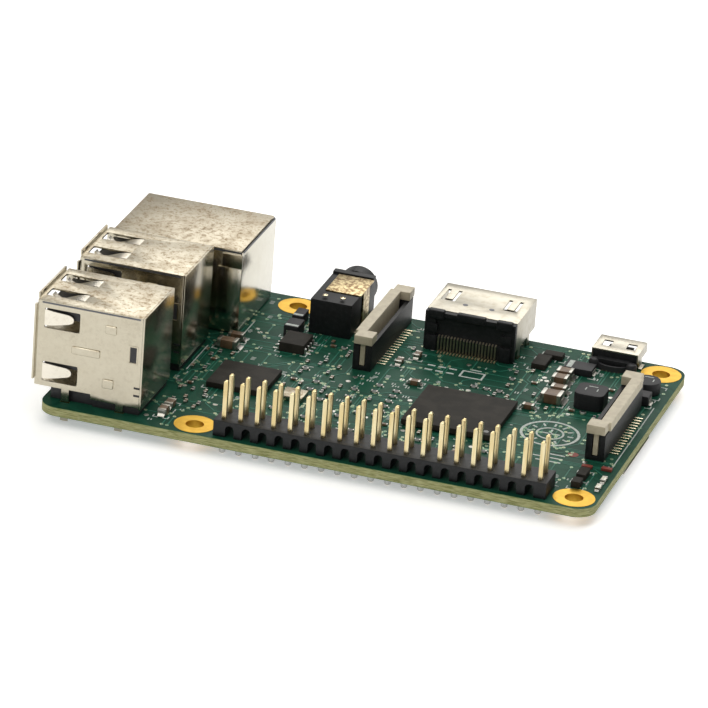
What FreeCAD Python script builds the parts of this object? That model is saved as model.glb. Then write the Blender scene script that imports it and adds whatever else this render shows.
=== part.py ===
import FreeCAD, Part
import os
import re
import Sketcher

# A single board computer: a drilled glass-fibre board that carries a pin header, two double
# USB sockets, a network socket, video, power and audio sockets, two flat-cable connectors,
# a memory card socket and the chips and small parts between them.
#
# Every piece is drawn in the board's own drawing coordinates: X along the board from its
# left edge, Y across it from the edge with the video socket, Z up from the top face.
# A last placement moves each finished piece into the part's frame, whose origin is the
# middle of the four mounting holes on the board's underside.

doc = FreeCAD.newDocument("single_board_computer")

SIZES = [
    # board
    ("board_long", 85.0, "length along X"),
    ("board_wide", 56.0, "width along Y"),
    ("board_thick", 1.4, "laminate thickness"),
    ("board_corner", 3.0, "corner radius"),
    ("hole_inset", 3.5, "edge to mounting hole, both ways"),
    ("hole_span_x", 58.0, "mounting hole spacing along X"),
    ("hole_span_y", 49.0, "mounting hole spacing along Y"),
    ("hole_bore", 1.375, "plated bore radius"),
    ("plating", 0.05, "thickness of barrel and pads"),
    ("pad_radius", 3.1, "round gold pad"),
    # leads through the board
    ("tail_drop", 1.65, "longest leads below the underside"),
    ("lead_drop", 1.5, "shorter leads below the underside"),
    ("pin_drill", 0.5, "drill radius for a header pin"),
    ("lead_drill", 0.45, "drill radius for a socket lead"),
    ("slot_play", 0.15, "room round a shell leg in its slot"),
    # header
    ("pitch", 2.54, "pin to pin, both ways"),
    ("header_first", 8.37, "X of the first pin"),
    ("header_row", 51.23, "Y of the inner row"),
    ("header_tall", 2.54, "housing height"),
    ("pin_wide", 0.64, "square pin"),
    ("pin_top", 8.54, "tip above the board"),
    ("pin_taper", 0.18, "bevel of a tip"),
    ("foot_wide", 1.25, "housing foot round each pin"),
    ("arch_spring", 1.25, "height where the arch between feet begins"),
    # double USB socket
    ("usb_a_mid", 47.0, "Y of the outer socket"),
    ("usb_b_mid", 29.0, "Y of the inner socket"),
    ("usb_back", 69.7, "outer face of the back cover"),
    ("usb_front", 86.4, "mouth"),
    ("usb_wide", 13.1, "shell width"),
    ("usb_top", 15.6, "shell top"),
    ("usb_low", 2.0, "underside of the shell floor"),
    ("usb_apron", 1.2, "lower edge of the rear of the sides"),
    ("usb_step", 77.6, "X where the lower edge steps"),
    ("usb_sheet", 0.3, "sheet thickness"),
    ("usb_mouth", 5.2, "height of one plug opening"),
    ("usb_bulk", 77.3, "front face of the insulator block"),
    ("tongue_front", 85.3, "tip of the tongues"),
    ("tongue_thick", 1.84, "tongue thickness"),
    ("tongue_drop", 0.7, "room over a tongue"),
    ("tongue_half", 5.55, "half the tongue width"),
    ("strip_thick", 0.2, "contact strip"),
    ("leg_wide", 1.2, "shell leg along X"),
    ("usb_leg_front", 80.9, "X of the front legs"),
    ("usb_leg_rear", 72.4, "X of the rear legs"),
    # network socket
    ("net_mid", 10.25, "Y of the middle"),
    ("net_back", 66.4, "back face"),
    ("net_front", 87.1, "mouth face"),
    ("net_wide", 15.9, "shell width"),
    ("net_top", 13.7, "shell top"),
    ("net_sheet", 0.25, "sheet thickness"),
    ("net_cavity_half", 5.9, "half the plug opening"),
    ("net_cavity_low", 3.0, "plug opening floor"),
    ("net_cavity_high", 10.6, "plug opening roof"),
    ("net_cavity_back", 73.6, "plug opening depth"),
    # video socket
    ("video_mid", 32.25, "X of the middle"),
    ("video_front", -1.7, "mouth"),
    ("video_rear", 9.0, "rear edge of the shell"),
    ("video_back", 10.0, "rear of the insulator"),
    ("video_half", 7.15, "half the shell width"),
    ("video_top", 6.3, "shell top"),
    ("video_sheet", 0.3, "sheet thickness"),
    # micro power socket
    ("power_mid", 10.8, "X of the middle"),
    ("power_front", -1.3, "mouth"),
    ("power_rear", 4.2, "rear edge of the shell"),
    ("power_half", 3.65, "half the shell width"),
    ("power_top", 2.7, "shell top"),
    ("power_sheet", 0.25, "sheet thickness"),
    # audio jack
    ("jack_mid", 53.7, "X of the bore"),
    ("jack_half", 3.3, "half the body width"),
    ("jack_tall", 6.0, "collar height"),
    ("jack_deck", 5.6, "body top behind the collar"),
    ("jack_end", 12.3, "rear face"),
    ("jack_nose", -2.5, "end of the round nose"),
    ("jack_bore", 1.8, "bore radius"),
    ("jack_axis", 3.05, "bore height over the board"),
    # flat-cable connectors
    ("camera_x", 45.3, "middle of the camera connector"),
    ("camera_y", 11.95, "middle of the camera connector"),
    ("display_x", 4.35, "middle of the display connector"),
    ("display_y", 28.0, "middle of the display connector"),
    ("flat_half", 10.95, "half the connector length"),
    ("flat_tall", 4.2, "housing top"),
    ("flat_top", 5.7, "actuator top"),
    ("flat_pitch", 1.0, "contact to contact"),
    ("flat_play", 0.1, "room round the actuator"),
    # memory card socket, under the board
    ("card_mouth", 0.5, "X of the mouth"),
    ("card_back", 15.2, "X of the rear wall"),
    ("card_mid", 28.0, "Y of the middle"),
    ("card_half", 7.2, "half the width"),
    ("card_deep", 1.5, "height below the underside"),
    ("card_floor", 0.35, "base against the board"),
    ("card_sheet", 0.15, "shell sheet"),
    # chips
    ("processor_x", 26.9, "middle"),
    ("processor_y", 32.3, "middle"),
    ("processor_side", 14.0, "square package"),
    ("memory_long", 12.0, "package along X"),
    ("memory_wide", 10.0, "package along Y"),
    ("ball_gap", 0.25, "height of the solder balls"),
    ("ball_radius", 0.25, "solder ball"),
    ("hub_x", 60.0, "middle"),
    ("hub_y", 34.3, "middle"),
    ("hub_side", 9.0, "square package"),
]

sheet = doc.addObject("Spreadsheet::Sheet", "Sizes")
for line, (alias, amount, meaning) in enumerate(SIZES, start=1):
    sheet.set(f"A{line}", meaning)
    sheet.set(f"B{line}", str(amount))
    sheet.setAlias(f"B{line}", alias)
doc.recompute()

ALIASES = {alias for alias, amount, meaning in SIZES}
sub_parts = []


def in_sheet(text):
    """An expression in plain aliases, written the way the document reads it."""
    return re.sub(r"[a-z_]+", lambda word: "Sizes." + word.group(), str(text))


def value(text):
    """The number that an expression stands for now."""
    return float(sheet.evalExpression(in_sheet(text)))


def bind(item, **wanted):
    for prop, text in wanted.items():
        item.setExpression(prop, in_sheet(text))


def place(item, along, across, up):
    item.setExpression("Placement.Base.x", in_sheet(along))
    item.setExpression("Placement.Base.y", in_sheet(across))
    item.setExpression("Placement.Base.z", in_sheet(up))


def hand_over(node, *pieces, at=("0", "0", "0")):
    """Name a finished sub-part and move it from drawing coordinates to the part's frame."""
    whole = pieces[0]
    primitive = whole.TypeId in ("Part::Box", "Part::Cylinder")
    if len(pieces) > 1 or primitive:
        whole = doc.addObject("Part::Compound", node)
        whole.Links = list(pieces)
    whole.Label = node
    along, across, up = at
    place(
        whole,
        f"({along}) - hole_inset - hole_span_x / 2",
        f"({across}) - hole_inset - hole_span_y / 2",
        f"({up}) + board_thick",
    )
    sub_parts.append(whole)
    return whole


def block(name, x_span, y_span, z_span):
    """A box between two expressions along each axis."""
    item = doc.addObject("Part::Box", name)
    low, high = zip(x_span, y_span, z_span)
    sides = [f"({b}) - ({a})" for a, b in zip(low, high)]
    bind(item, Length=sides[0], Width=sides[1], Height=sides[2])
    place(item, *low)
    return item


def about(middle, half):
    """The span of a width centred on a place."""
    return (f"({middle}) - ({half})", f"({middle}) + ({half})")


def toward(middle, side, near, far):
    """A span measured from a middle towards +X when side is 1, towards -X when it is -1."""
    if side > 0:
        return (f"{middle} + ({near})", f"{middle} + ({far})")
    return (f"{middle} - ({far})", f"{middle} - ({near})")


def rod(name, centre, radius, long, axis="Z"):
    """A cylinder from a centre along Z or Y."""
    item = doc.addObject("Part::Cylinder", name)
    bind(item, Radius=radius, Height=long)
    if axis == "Y":
        item.Placement.Rotation = FreeCAD.Rotation(FreeCAD.Vector(1, 0, 0), -90)
    place(item, *centre)
    return item


def fuse(name, *pieces):
    item = doc.addObject("Part::MultiFuse", name)
    item.Shapes = list(pieces)
    item.Refine = True
    return item


def group(name, *pieces):
    item = doc.addObject("Part::Compound", name)
    item.Links = list(pieces)
    return item


def cut(name, base, *tools):
    item = doc.addObject("Part::Cut", name)
    item.Base = base
    item.Tool = tools[0] if len(tools) == 1 else group(f"{name}_tools", *tools)
    item.Refine = True
    return item


def body(node):
    return doc.addObject("PartDesign::Body", node)


def sketch(owner, role, name):
    """A sketch on one of its body's own origin planes."""
    drawing = owner.newObject("Sketcher::SketchObject", name)
    plane = [item for item in owner.Origin.OriginFeatures if item.Role == role][0]
    drawing.AttachmentSupport = (plane, [""])
    drawing.MapMode = "FlatFace"
    return drawing


def dimension(drawing, kind, *target, text):
    """Add a dimension to a sketch and bind it to an expression."""
    number = drawing.addConstraint(Sketcher.Constraint(kind, *target, value(text)))
    drawing.setExpression(f"Constraints[{number}]", in_sheet(text))


def outline(drawing, *corners):
    """A closed outline of straight lines through bound corners."""
    spots = [FreeCAD.Vector(value(across), value(up), 0) for across, up in corners]
    first = len(drawing.Geometry)
    count = len(corners)
    for index in range(count):
        drawing.addGeometry(Part.LineSegment(spots[index], spots[(index + 1) % count]), False)
    for index in range(count):
        following = first + (index + 1) % count
        drawing.addConstraint(Sketcher.Constraint("Coincident", first + index, 2, following, 1))
    for index, (across, up) in enumerate(corners):
        dimension(drawing, "DistanceX", -1, 1, first + index, 1, text=across)
        dimension(drawing, "DistanceY", -1, 1, first + index, 1, text=up)


def rectangle(drawing, across_span, up_span):
    left, right = across_span
    low, high = up_span
    outline(drawing, (left, low), (right, low), (right, high), (left, high))


def ring(drawing, across, up, radius):
    """A bound circle."""
    spot = FreeCAD.Vector(value(across), value(up), 0)
    circle = Part.Circle(spot, FreeCAD.Vector(0, 0, 1), value(radius))
    number = drawing.addGeometry(circle, False)
    dimension(drawing, "Radius", number, text=radius)
    dimension(drawing, "DistanceX", -1, 1, number, 3, text=across)
    dimension(drawing, "DistanceY", -1, 1, number, 3, text=up)


def pad(owner, drawing, long, reverse=False, both_ways=False):
    item = owner.newObject("PartDesign::Pad", f"{drawing.Name}_pad")
    item.Profile = drawing
    item.Reversed = reverse
    item.SideType = "Symmetric" if both_ways else "One side"
    bind(item, Length=long)
    doc.recompute()
    return item


def pocket(owner, drawing, long, reverse=False, both_ways=False):
    """Cut a sketch away; a pocket that removes nothing is an error."""
    before = owner.Shape.Volume
    item = owner.newObject("PartDesign::Pocket", f"{drawing.Name}_pocket")
    item.Profile = drawing
    item.Reversed = reverse
    item.SideType = "Symmetric" if both_ways else "One side"
    bind(item, Length=long)
    doc.recompute()
    if owner.Shape.Volume >= before:
        raise ValueError(f"{item.Name} cuts nothing")
    return item


def repeat(owner, feature, drawing, count, spacing):
    """Repeat a pocket along the sketch's horizontal axis."""
    item = owner.newObject("PartDesign::LinearPattern", f"{feature.Name}_row")
    item.Originals = [feature]
    item.Direction = (drawing, ["H_Axis"])
    item.Occurrences = count
    bind(item, Length=f"{count - 1} * ({spacing})")
    owner.Tip = item
    doc.recompute()
    return item


# ---------------------------------------------------------------- where leads pass the board

HEADER_COUNT = 20
USB_LEAD_ROWS = ("71.35", "73.95")
USB_LEAD_OFFSETS = ("-3.5", "-1", "1", "3.5")
NET_PIN_ROWS = ("68.3", "70.84")
NET_PIN_OFFSETS = ("-5.08", "-2.54", "0", "2.54", "5.08")
NET_LEG = "75.5"
VIDEO_LEGS = ("1.3", "6.4")
JACK_PEGS = ("2.6", "9.6")


def leg_slots(drawing, start, middle, half, sheet_name):
    """Two slots for the legs of a shell that stand along X on either side of a middle."""
    for side in ("-", "+"):
        inner = f"({middle}) {side} ({half} - {sheet_name} - slot_play)"
        outer = f"({middle}) {side} ({half} + slot_play)"
        span = (outer, inner) if side == "-" else (inner, outer)
        rectangle(drawing, (f"{start} - slot_play", f"{start} + leg_wide + slot_play"), span)


def circuit_board():
    """Rounded laminate with every hole that a lead, leg, peg or screw goes through."""
    laminate = body("circuit_board")
    edge = sketch(laminate, "XY_Plane", "board_edge")
    rectangle(edge, ("0", "board_long"), ("0", "board_wide"))
    slab = pad(laminate, edge, "board_thick", reverse=True)
    corners = laminate.newObject("PartDesign::Fillet", "board_corners")
    upright = [
        f"Edge{number}"
        for number, line in enumerate(slab.Shape.Edges, start=1)
        if abs(line.BoundBox.ZLength - value("board_thick")) < 1e-6
    ]
    corners.Base = (slab, upright)
    bind(corners, Radius="board_corner")
    doc.recompute()

    screws = sketch(laminate, "XY_Plane", "screw_holes")
    for along in ("hole_inset", "hole_inset + hole_span_x"):
        for across in ("hole_inset", "hole_inset + hole_span_y"):
            ring(screws, along, across, "hole_bore + plating")
    pocket(laminate, screws, "board_thick")

    pins = sketch(laminate, "XY_Plane", "header_holes")
    ring(pins, "header_first", "header_row", "pin_drill")
    ring(pins, "header_first", "header_row + pitch", "pin_drill")
    first = pocket(laminate, pins, "board_thick")
    repeat(laminate, first, pins, HEADER_COUNT, "pitch")

    leads = sketch(laminate, "XY_Plane", "socket_lead_holes")
    for middle in ("usb_a_mid", "usb_b_mid"):
        for row in USB_LEAD_ROWS:
            for offset in USB_LEAD_OFFSETS:
                ring(leads, row, f"{middle} + {offset}", "lead_drill")
    for row in NET_PIN_ROWS:
        for offset in NET_PIN_OFFSETS:
            ring(leads, row, f"net_mid + {offset}", "lead_drill")
    for across in JACK_PEGS:
        ring(leads, "jack_mid", across, "0.65")
    pocket(laminate, leads, "board_thick")

    slots = sketch(laminate, "XY_Plane", "shell_leg_slots")
    for middle in ("usb_a_mid", "usb_b_mid"):
        for start in ("usb_leg_front", "usb_leg_rear"):
            leg_slots(slots, start, middle, "usb_wide / 2", "usb_sheet")
    leg_slots(slots, NET_LEG, "net_mid", "net_wide / 2", "net_sheet")
    for start in VIDEO_LEGS:
        for side in (-1, 1):
            inner = f"video_mid + {side} * (video_half - video_sheet - slot_play)"
            outer = f"video_mid + {side} * (video_half + slot_play)"
            across = (f"{start} - slot_play", f"{start} + leg_wide + slot_play")
            rectangle(slots, (outer, inner) if side < 0 else (inner, outer), across)
    pocket(laminate, slots, "board_thick")
    hand_over("circuit_board", laminate)


def plated_mounting_holes():
    """Four gold barrels, each with a round pad on both faces."""
    barrels = []
    for along in ("hole_inset", "hole_inset + hole_span_x"):
        for across in ("hole_inset", "hole_inset + hole_span_y"):
            tag = f"barrel_{len(barrels)}"
            below = "-board_thick - plating"
            full = "board_thick + 2 * plating"
            tube = rod(f"{tag}_tube", (along, across, below), "hole_bore + plating", full)
            under = rod(f"{tag}_under", (along, across, below), "pad_radius", "plating")
            over = rod(f"{tag}_over", (along, across, "0"), "pad_radius", "plating")
            bore = rod(f"{tag}_bore", (along, across, below), "hole_bore", full)
            barrels.append(cut(tag, fuse(f"{tag}_solid", tube, under, over), bore))
    hand_over("plated_mounting_holes", *barrels)


# ---------------------------------------------------------------- pin header

def header_housing():
    """Moulded strip on arched feet; the pins are pressed through square holes."""
    strip = body("header_housing")
    plan = sketch(strip, "XY_Plane", "strip_plan")
    rectangle(plan, about("0", "10 * pitch"), about("0", "pitch"))
    pad(strip, plan, "header_tall")

    arch = sketch(strip, "XZ_Plane", "strip_arch")
    left = value("-9 * pitch - (pitch - foot_wide) / 2")
    right = value("-9 * pitch + (pitch - foot_wide) / 2")
    spring = value("arch_spring")
    centre = FreeCAD.Vector((left + right) / 2, spring, 0)
    crown = Part.Circle(centre, FreeCAD.Vector(0, 0, 1), (right - left) / 2)
    half_turn = 3.1416
    arch.addGeometry(Part.ArcOfCircle(crown, 0, half_turn), False)
    spots = [(left, spring), (left, 0), (right, 0), (right, spring)]
    corners = [FreeCAD.Vector(across, up, 0) for across, up in spots]
    for start, end in zip(corners, corners[1:]):
        arch.addGeometry(Part.LineSegment(start, end), False)
    joints = ((0, 2, 1, 1), (1, 2, 2, 1), (2, 2, 3, 1), (3, 2, 0, 1))
    for joint in joints:
        arch.addConstraint(Sketcher.Constraint("Coincident", *joint))
    for number in (1, 3):
        arch.addConstraint(Sketcher.Constraint("Vertical", number))
    arch.addConstraint(Sketcher.Constraint("Horizontal", 2))
    dimension(arch, "DistanceX", -1, 1, 2, 1, text="-9 * pitch - (pitch - foot_wide) / 2")
    dimension(arch, "DistanceY", -1, 1, 2, 1, text="0")
    dimension(arch, "DistanceX", 2, 1, 2, 2, text="pitch - foot_wide")
    dimension(arch, "DistanceY", -1, 1, 0, 3, text="arch_spring")
    dimension(arch, "Radius", 0, text="(pitch - foot_wide) / 2")
    gap = pocket(strip, arch, "4 * pitch", both_ways=True)
    repeat(strip, gap, arch, HEADER_COUNT - 1, "pitch")

    holes = sketch(strip, "XY_Plane", "pin_holes")
    for row in ("-pitch / 2", "pitch / 2"):
        rectangle(holes, about("-9.5 * pitch", "pin_wide / 2"), about(row, "pin_wide / 2"))
    pair = pocket(strip, holes, "header_tall", reverse=True)
    repeat(strip, pair, holes, HEADER_COUNT, "pitch")
    at = ("header_first + 9.5 * pitch", "header_row + pitch / 2", "0")
    hand_over("header_housing", strip, at=at)


def header_pins():
    """Forty square pins with bevelled tips, from solder tail to tip."""
    wide = value("pin_wide")
    low = -value("board_thick") - value("tail_drop")
    taper = value("pin_taper")
    pin = Part.makeBox(wide, wide, value("pin_top") - low, FreeCAD.Vector(-wide / 2, -wide / 2, low))
    ends = [edge for edge in pin.Edges if edge.BoundBox.ZLength < taper]
    pin = pin.makeChamfer(taper, ends)
    pins = []
    for number in range(HEADER_COUNT):
        for row in range(2):
            along = value("header_first") + number * value("pitch")
            across = value("header_row") + row * value("pitch")
            pins.append(pin.translated(FreeCAD.Vector(along, across, 0)))
    field = doc.addObject("Part::Feature", "header_pins")
    field.Shape = Part.makeCompound(pins)
    hand_over("header_pins", field)


# ---------------------------------------------------------------- double USB sockets

def sprung_window(name, span_x, span_y, span_z, root, rib):
    """A hole in a sheet wall, and the strip that stays in it, joined at the root end."""
    hole = block(f"{name}_hole", span_x, span_y, span_z)
    low, high = span_x
    strip_x = (low, f"({high}) - 0.45") if root == "low" else (f"({low}) + 0.45", high)
    strip_y, strip_z = rib
    return hole, block(f"{name}_strip", strip_x, strip_y, strip_z)


def usb_shell(tag, middle):
    """Folded tinplate box with sprung strips, flared lips and four solder legs."""
    name = f"usb_{tag}_shell"
    inner = "usb_wide / 2 - usb_sheet"
    long = ("usb_back + usb_sheet", "usb_front")
    plates = [
        block(f"{name}_roof", long, about(middle, "usb_wide / 2"), ("usb_top - usb_sheet", "usb_top")),
        block(
            f"{name}_floor",
            ("usb_step", "usb_front"),
            about(middle, inner),
            ("usb_low", "usb_low + usb_sheet"),
        ),
        block(f"{name}_roof_lip", ("usb_front", "usb_front + 0.3"), about(middle, "5.6"), ("15.4", "16.3")),
    ]
    holes = []
    strips = []
    for side, sign in (("outer", "+"), ("inner", "-")):
        face = [f"{middle} {sign} usb_wide / 2", f"{middle} {sign} ({inner})"]
        wall = tuple(face) if sign == "-" else tuple(reversed(face))
        plates.append(block(f"{name}_{side}", long, wall, ("usb_low", "usb_top")))
        apron_x = ("usb_back + usb_sheet", "usb_step")
        plates.append(block(f"{name}_{side}_apron", apron_x, wall, ("usb_apron", "usb_low")))
        lip = toward(middle, 1 if sign == "+" else -1, "6.4", "7.1")
        plates.append(block(f"{name}_{side}_lip", ("usb_front", "usb_front + 0.3"), lip, ("3", "15")))
        for start in ("usb_leg_front", "usb_leg_rear"):
            leg_x = (start, f"{start} + leg_wide")
            leg_z = ("-board_thick - tail_drop", "usb_low")
            plates.append(block(f"{name}_{side}_{start}", leg_x, wall, leg_z))
        for level in ("2.9", "11.4"):
            tall = (level, f"{level} + 3")
            rib = (wall, (f"{level} + 0.45", f"{level} + 2.55"))
            pair = sprung_window(f"{name}_{side}_{level[:2]}", ("79.8", "85.2"), wall, tall, "high", rib)
            holes.append(pair[0])
            strips.append(pair[1])
    for offset in ("-3", "3"):
        roof_z = ("usb_top - usb_sheet", "usb_top")
        window_y = about(f"{middle} + {offset}", "1.3")
        rib = (about(f"{middle} + {offset}", "0.85"), roof_z)
        pair = sprung_window(f"{name}_roof_{offset}", ("80", "85.9"), window_y, roof_z, "low", rib)
        holes.append(pair[0])
        strips.append(pair[1])
    pierced = cut(f"{name}_pierced", fuse(f"{name}_folded", *plates), *holes)
    hand_over(name, fuse(name, pierced, *strips))


def usb_inside(tag, middle):
    """Insulator with its two tongues, eight contacts let into it, middle shield, back cover."""
    name = f"usb_{tag}"
    inner = "usb_wide / 2 - usb_sheet"
    roof = "usb_top - usb_sheet"
    deck = f"{roof} - usb_mouth"
    bulk = [
        block(f"{name}_bulk", ("usb_back + usb_sheet", "usb_bulk"), about(middle, inner), ("0", roof)),
        block(f"{name}_plinth", ("usb_bulk", "84"), about(middle, "5.8"), ("0", "usb_low")),
    ]
    contacts = []
    for level, ceiling in (("low", "usb_low + usb_sheet + usb_mouth"), ("high", roof)):
        under = f"{ceiling} - tongue_drop - tongue_thick"
        tongue_z = (under, f"{ceiling} - tongue_drop")
        tongue_y = about(middle, "tongue_half")
        bulk.append(block(f"{name}_{level}_tongue", ("usb_bulk", "tongue_front"), tongue_y, tongue_z))
        lead_x = USB_LEAD_ROWS[1] if level == "low" else USB_LEAD_ROWS[0]
        for offset in USB_LEAD_OFFSETS:
            key = f"{name}_{level}_contact_{offset}"
            across = f"{middle} + {offset}"
            strip_z = (f"{under} - strip_thick", under)
            strip = block(f"{key}_strip", (f"{lead_x} - 0.15", "84.9"), about(across, "0.5"), strip_z)
            lead_z = ("-board_thick - lead_drop", under)
            lead = block(f"{key}_lead", about(lead_x, "0.15"), about(across, "0.3"), lead_z)
            contacts.append(fuse(key, strip, lead))
    hand_over(f"{name}_insulator", cut(f"{name}_insulator", fuse(f"{name}_moulding", *bulk), *contacts))
    hand_over(f"{name}_contacts", *contacts)

    bridge_z = ("usb_low + usb_sheet + usb_mouth", deck)
    solid = block(f"{name}_bridge", ("usb_bulk", "86.1"), about(middle, inner), bridge_z)
    hollow_z = ("usb_low + usb_sheet + usb_mouth + 0.25", f"{deck} - 0.25")
    hollow = block(f"{name}_bridge_hollow", ("usb_bulk", "85.85"), about(middle, inner), hollow_z)
    hand_over(f"{name}_middle_shield", cut(f"{name}_middle_shield", solid, hollow))

    back_x = ("usb_back", "usb_back + usb_sheet")
    plate = block(f"{name}_back", back_x, about(middle, "usb_wide / 2"), ("0.9", "usb_top"))
    hand_over(f"{name}_back_cover", plate)


# ---------------------------------------------------------------- network socket

def prism(name, points, y_low, y_high):
    """A solid between two Y values from a profile of numbers in X and Z."""
    spots = [FreeCAD.Vector(along, y_low, up) for along, up in points]
    face = Part.Face(Part.makePolygon(spots + spots[:1]))
    item = doc.addObject("Part::Feature", name)
    item.Shape = face.extrude(FreeCAD.Vector(0, y_high - y_low, 0))
    return item


def network_shell():
    """Tinplate can: roof, sides and front in one sheet, the back cover hooked over it."""
    half = "net_wide / 2"
    inner = "net_wide / 2 - net_sheet"
    long = ("net_back + net_sheet", "net_front")
    front_x = ("net_front - net_sheet", "net_front")
    plates = [
        block("net_roof", long, about("net_mid", half), ("net_top - net_sheet", "net_top")),
        block("net_front_plate", front_x, about("net_mid", half), ("0.2", "net_top")),
        block("net_side_far", long, (f"net_mid + {inner}", f"net_mid + {half}"), ("0.2", "net_top")),
        block("net_side_near", long, (f"net_mid - {half}", f"net_mid - ({inner})"), ("0.2", "net_top")),
    ]
    leg_x = (NET_LEG, f"{NET_LEG} + leg_wide")
    leg_z = ("-board_thick - tail_drop", "0.2")
    plates.append(block("net_leg_far", leg_x, (f"net_mid + {inner}", f"net_mid + {half}"), leg_z))
    plates.append(block("net_leg_near", leg_x, (f"net_mid - {half}", f"net_mid - ({inner})"), leg_z))
    mouth_z = ("net_cavity_low", "net_cavity_high")
    mouth = block("net_mouth", front_x, about("net_mid", "net_cavity_half"), mouth_z)
    latch = block("net_mouth_latch", front_x, about("net_mid", "3.1"), ("1.9", "net_cavity_low"))
    lamps = [
        block("net_lamp_far", front_x, ("net_mid + 4.3", "net_mid + 7"), ("0.9", "2.4")),
        block("net_lamp_near", front_x, ("net_mid - 7", "net_mid - 4.3"), ("0.9", "2.4")),
    ]
    hand_over("ethernet_shell", cut("ethernet_shell", fuse("net_folded", *plates), mouth, latch, *lamps))

    back_x = ("net_back", "net_back + net_sheet")
    cover = [block("net_back_plate", back_x, about("net_mid", half), ("0.2", "net_top - 0.4"))]
    for side in (-1, 1):
        lap_y = toward("net_mid", side, half, f"{half} + 0.2")
        cover.append(block(f"net_lap_{side + 1}", ("net_back", "70.2"), lap_y, ("2.2", "10.8")))
    hand_over("ethernet_back_cover", fuse("ethernet_back_cover", *cover))


def network_inside():
    """Moulding with the plug cavity, spring contacts, light pipes and the magnetics behind."""
    inner = "net_wide / 2 - net_sheet"
    long = ("net_back + net_sheet", "net_front - net_sheet")
    solid = block("net_moulding", long, about("net_mid", inner), ("0", "net_top - net_sheet"))
    lamp_x = ("72.8", "net_front")
    lamps = [
        block("light_pipe_far", lamp_x, ("net_mid + 4.3", "net_mid + 7"), ("0.9", "2.4")),
        block("light_pipe_near", lamp_x, ("net_mid - 7", "net_mid - 4.3"), ("0.9", "2.4")),
    ]
    cavity_x = ("net_cavity_back", "net_front - net_sheet")
    latch_x = ("76", "net_front - net_sheet")
    cavity_z = ("net_cavity_low", "net_cavity_high")
    voids = [
        block("net_cavity", cavity_x, about("net_mid", "net_cavity_half"), cavity_z),
        block("net_latch", latch_x, about("net_mid", "3.1"), ("1.9", "net_cavity_low")),
        block("net_chamber", ("67.2", "72.4"), about("net_mid", "7"), ("0", "12.5")),
    ]
    hand_over("ethernet_housing", cut("ethernet_housing", solid, *voids, *lamps))
    hand_over("ethernet_light_pipes", *lamps)

    roof = value("net_cavity_high")
    bent = [(84.6, roof), (83.9, roof), (75.0, roof - 2.3), (75.0, roof - 2.65), (84.1, roof - 0.3)]
    springs = []
    for number in range(8):
        across = value("net_mid") + (number - 3.5) * 1.02
        springs.append(prism(f"net_spring_{number}", bent, across - 0.18, across + 0.18))
    hand_over("ethernet_contacts", *springs)

    card = block("magnetics_card", ("67.4", "72.2"), about("net_mid", "7"), ("0.6", "1.6"))
    cores = []
    for number, offset in enumerate(("-4.6", "0", "4.6")):
        spot = ("69.8", f"net_mid + {offset}", "1.6")
        core = rod(f"core_{number}", spot, "2", "2.2")
        cores.append(cut(f"core_ring_{number}", core, rod(f"core_eye_{number}", spot, "0.8", "2.2")))
    hand_over("ethernet_magnetics", card, *cores)

    pins = []
    for row in NET_PIN_ROWS:
        for offset in NET_PIN_OFFSETS:
            spot = (row, f"net_mid + {offset}", "-board_thick - lead_drop")
            pins.append(rod(f"net_pin_{len(pins)}", spot, "0.25", "board_thick + lead_drop + 0.6"))
    hand_over("ethernet_pins", *pins)


# ---------------------------------------------------------------- video and power sockets

def tapered_profile(drawing, half, top, waist, foot, low, inset="0"):
    """Socket outline with slanted lower corners, drawn in by an even inset."""
    side = f"{half} - ({inset})"
    sole = f"{half} - {foot} - ({inset}) * 0.6"
    corners = [
        (f"-({side})", waist),
        (f"-({side})", f"{top} - ({inset})"),
        (side, f"{top} - ({inset})"),
        (side, waist),
        (sole, f"{low} + ({inset})"),
        (f"-({sole})", f"{low} + ({inset})"),
    ]
    outline(drawing, *corners)


def socket_shell(kind, waist, foot, low):
    """Folded sheet tube, drawn on its own middle and moved to its mouth's place."""
    shell = body(f"{kind}_tube")
    outer = sketch(shell, "XZ_Plane", f"{kind}_outer")
    tapered_profile(outer, f"{kind}_half", f"{kind}_top", waist, foot, low)
    pad(shell, outer, f"{kind}_rear - {kind}_front", reverse=True)
    hollow = sketch(shell, "XZ_Plane", f"{kind}_hollow")
    tapered_profile(hollow, f"{kind}_half", f"{kind}_top", waist, foot, low, inset=f"{kind}_sheet")
    pocket(shell, hollow, f"{kind}_rear - {kind}_front")
    place(shell, f"{kind}_mid", f"{kind}_front", "0")
    return shell


def roof_window(kind, number, offset, half, y_span):
    """One sprung window cutter in a socket's roof, or the strip inside it."""
    roof = (f"{kind}_top - {kind}_sheet", f"{kind}_top")
    return block(f"{kind}_roof_{number}_{half}", about(f"{kind}_mid + {offset}", half), y_span, roof)


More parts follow.
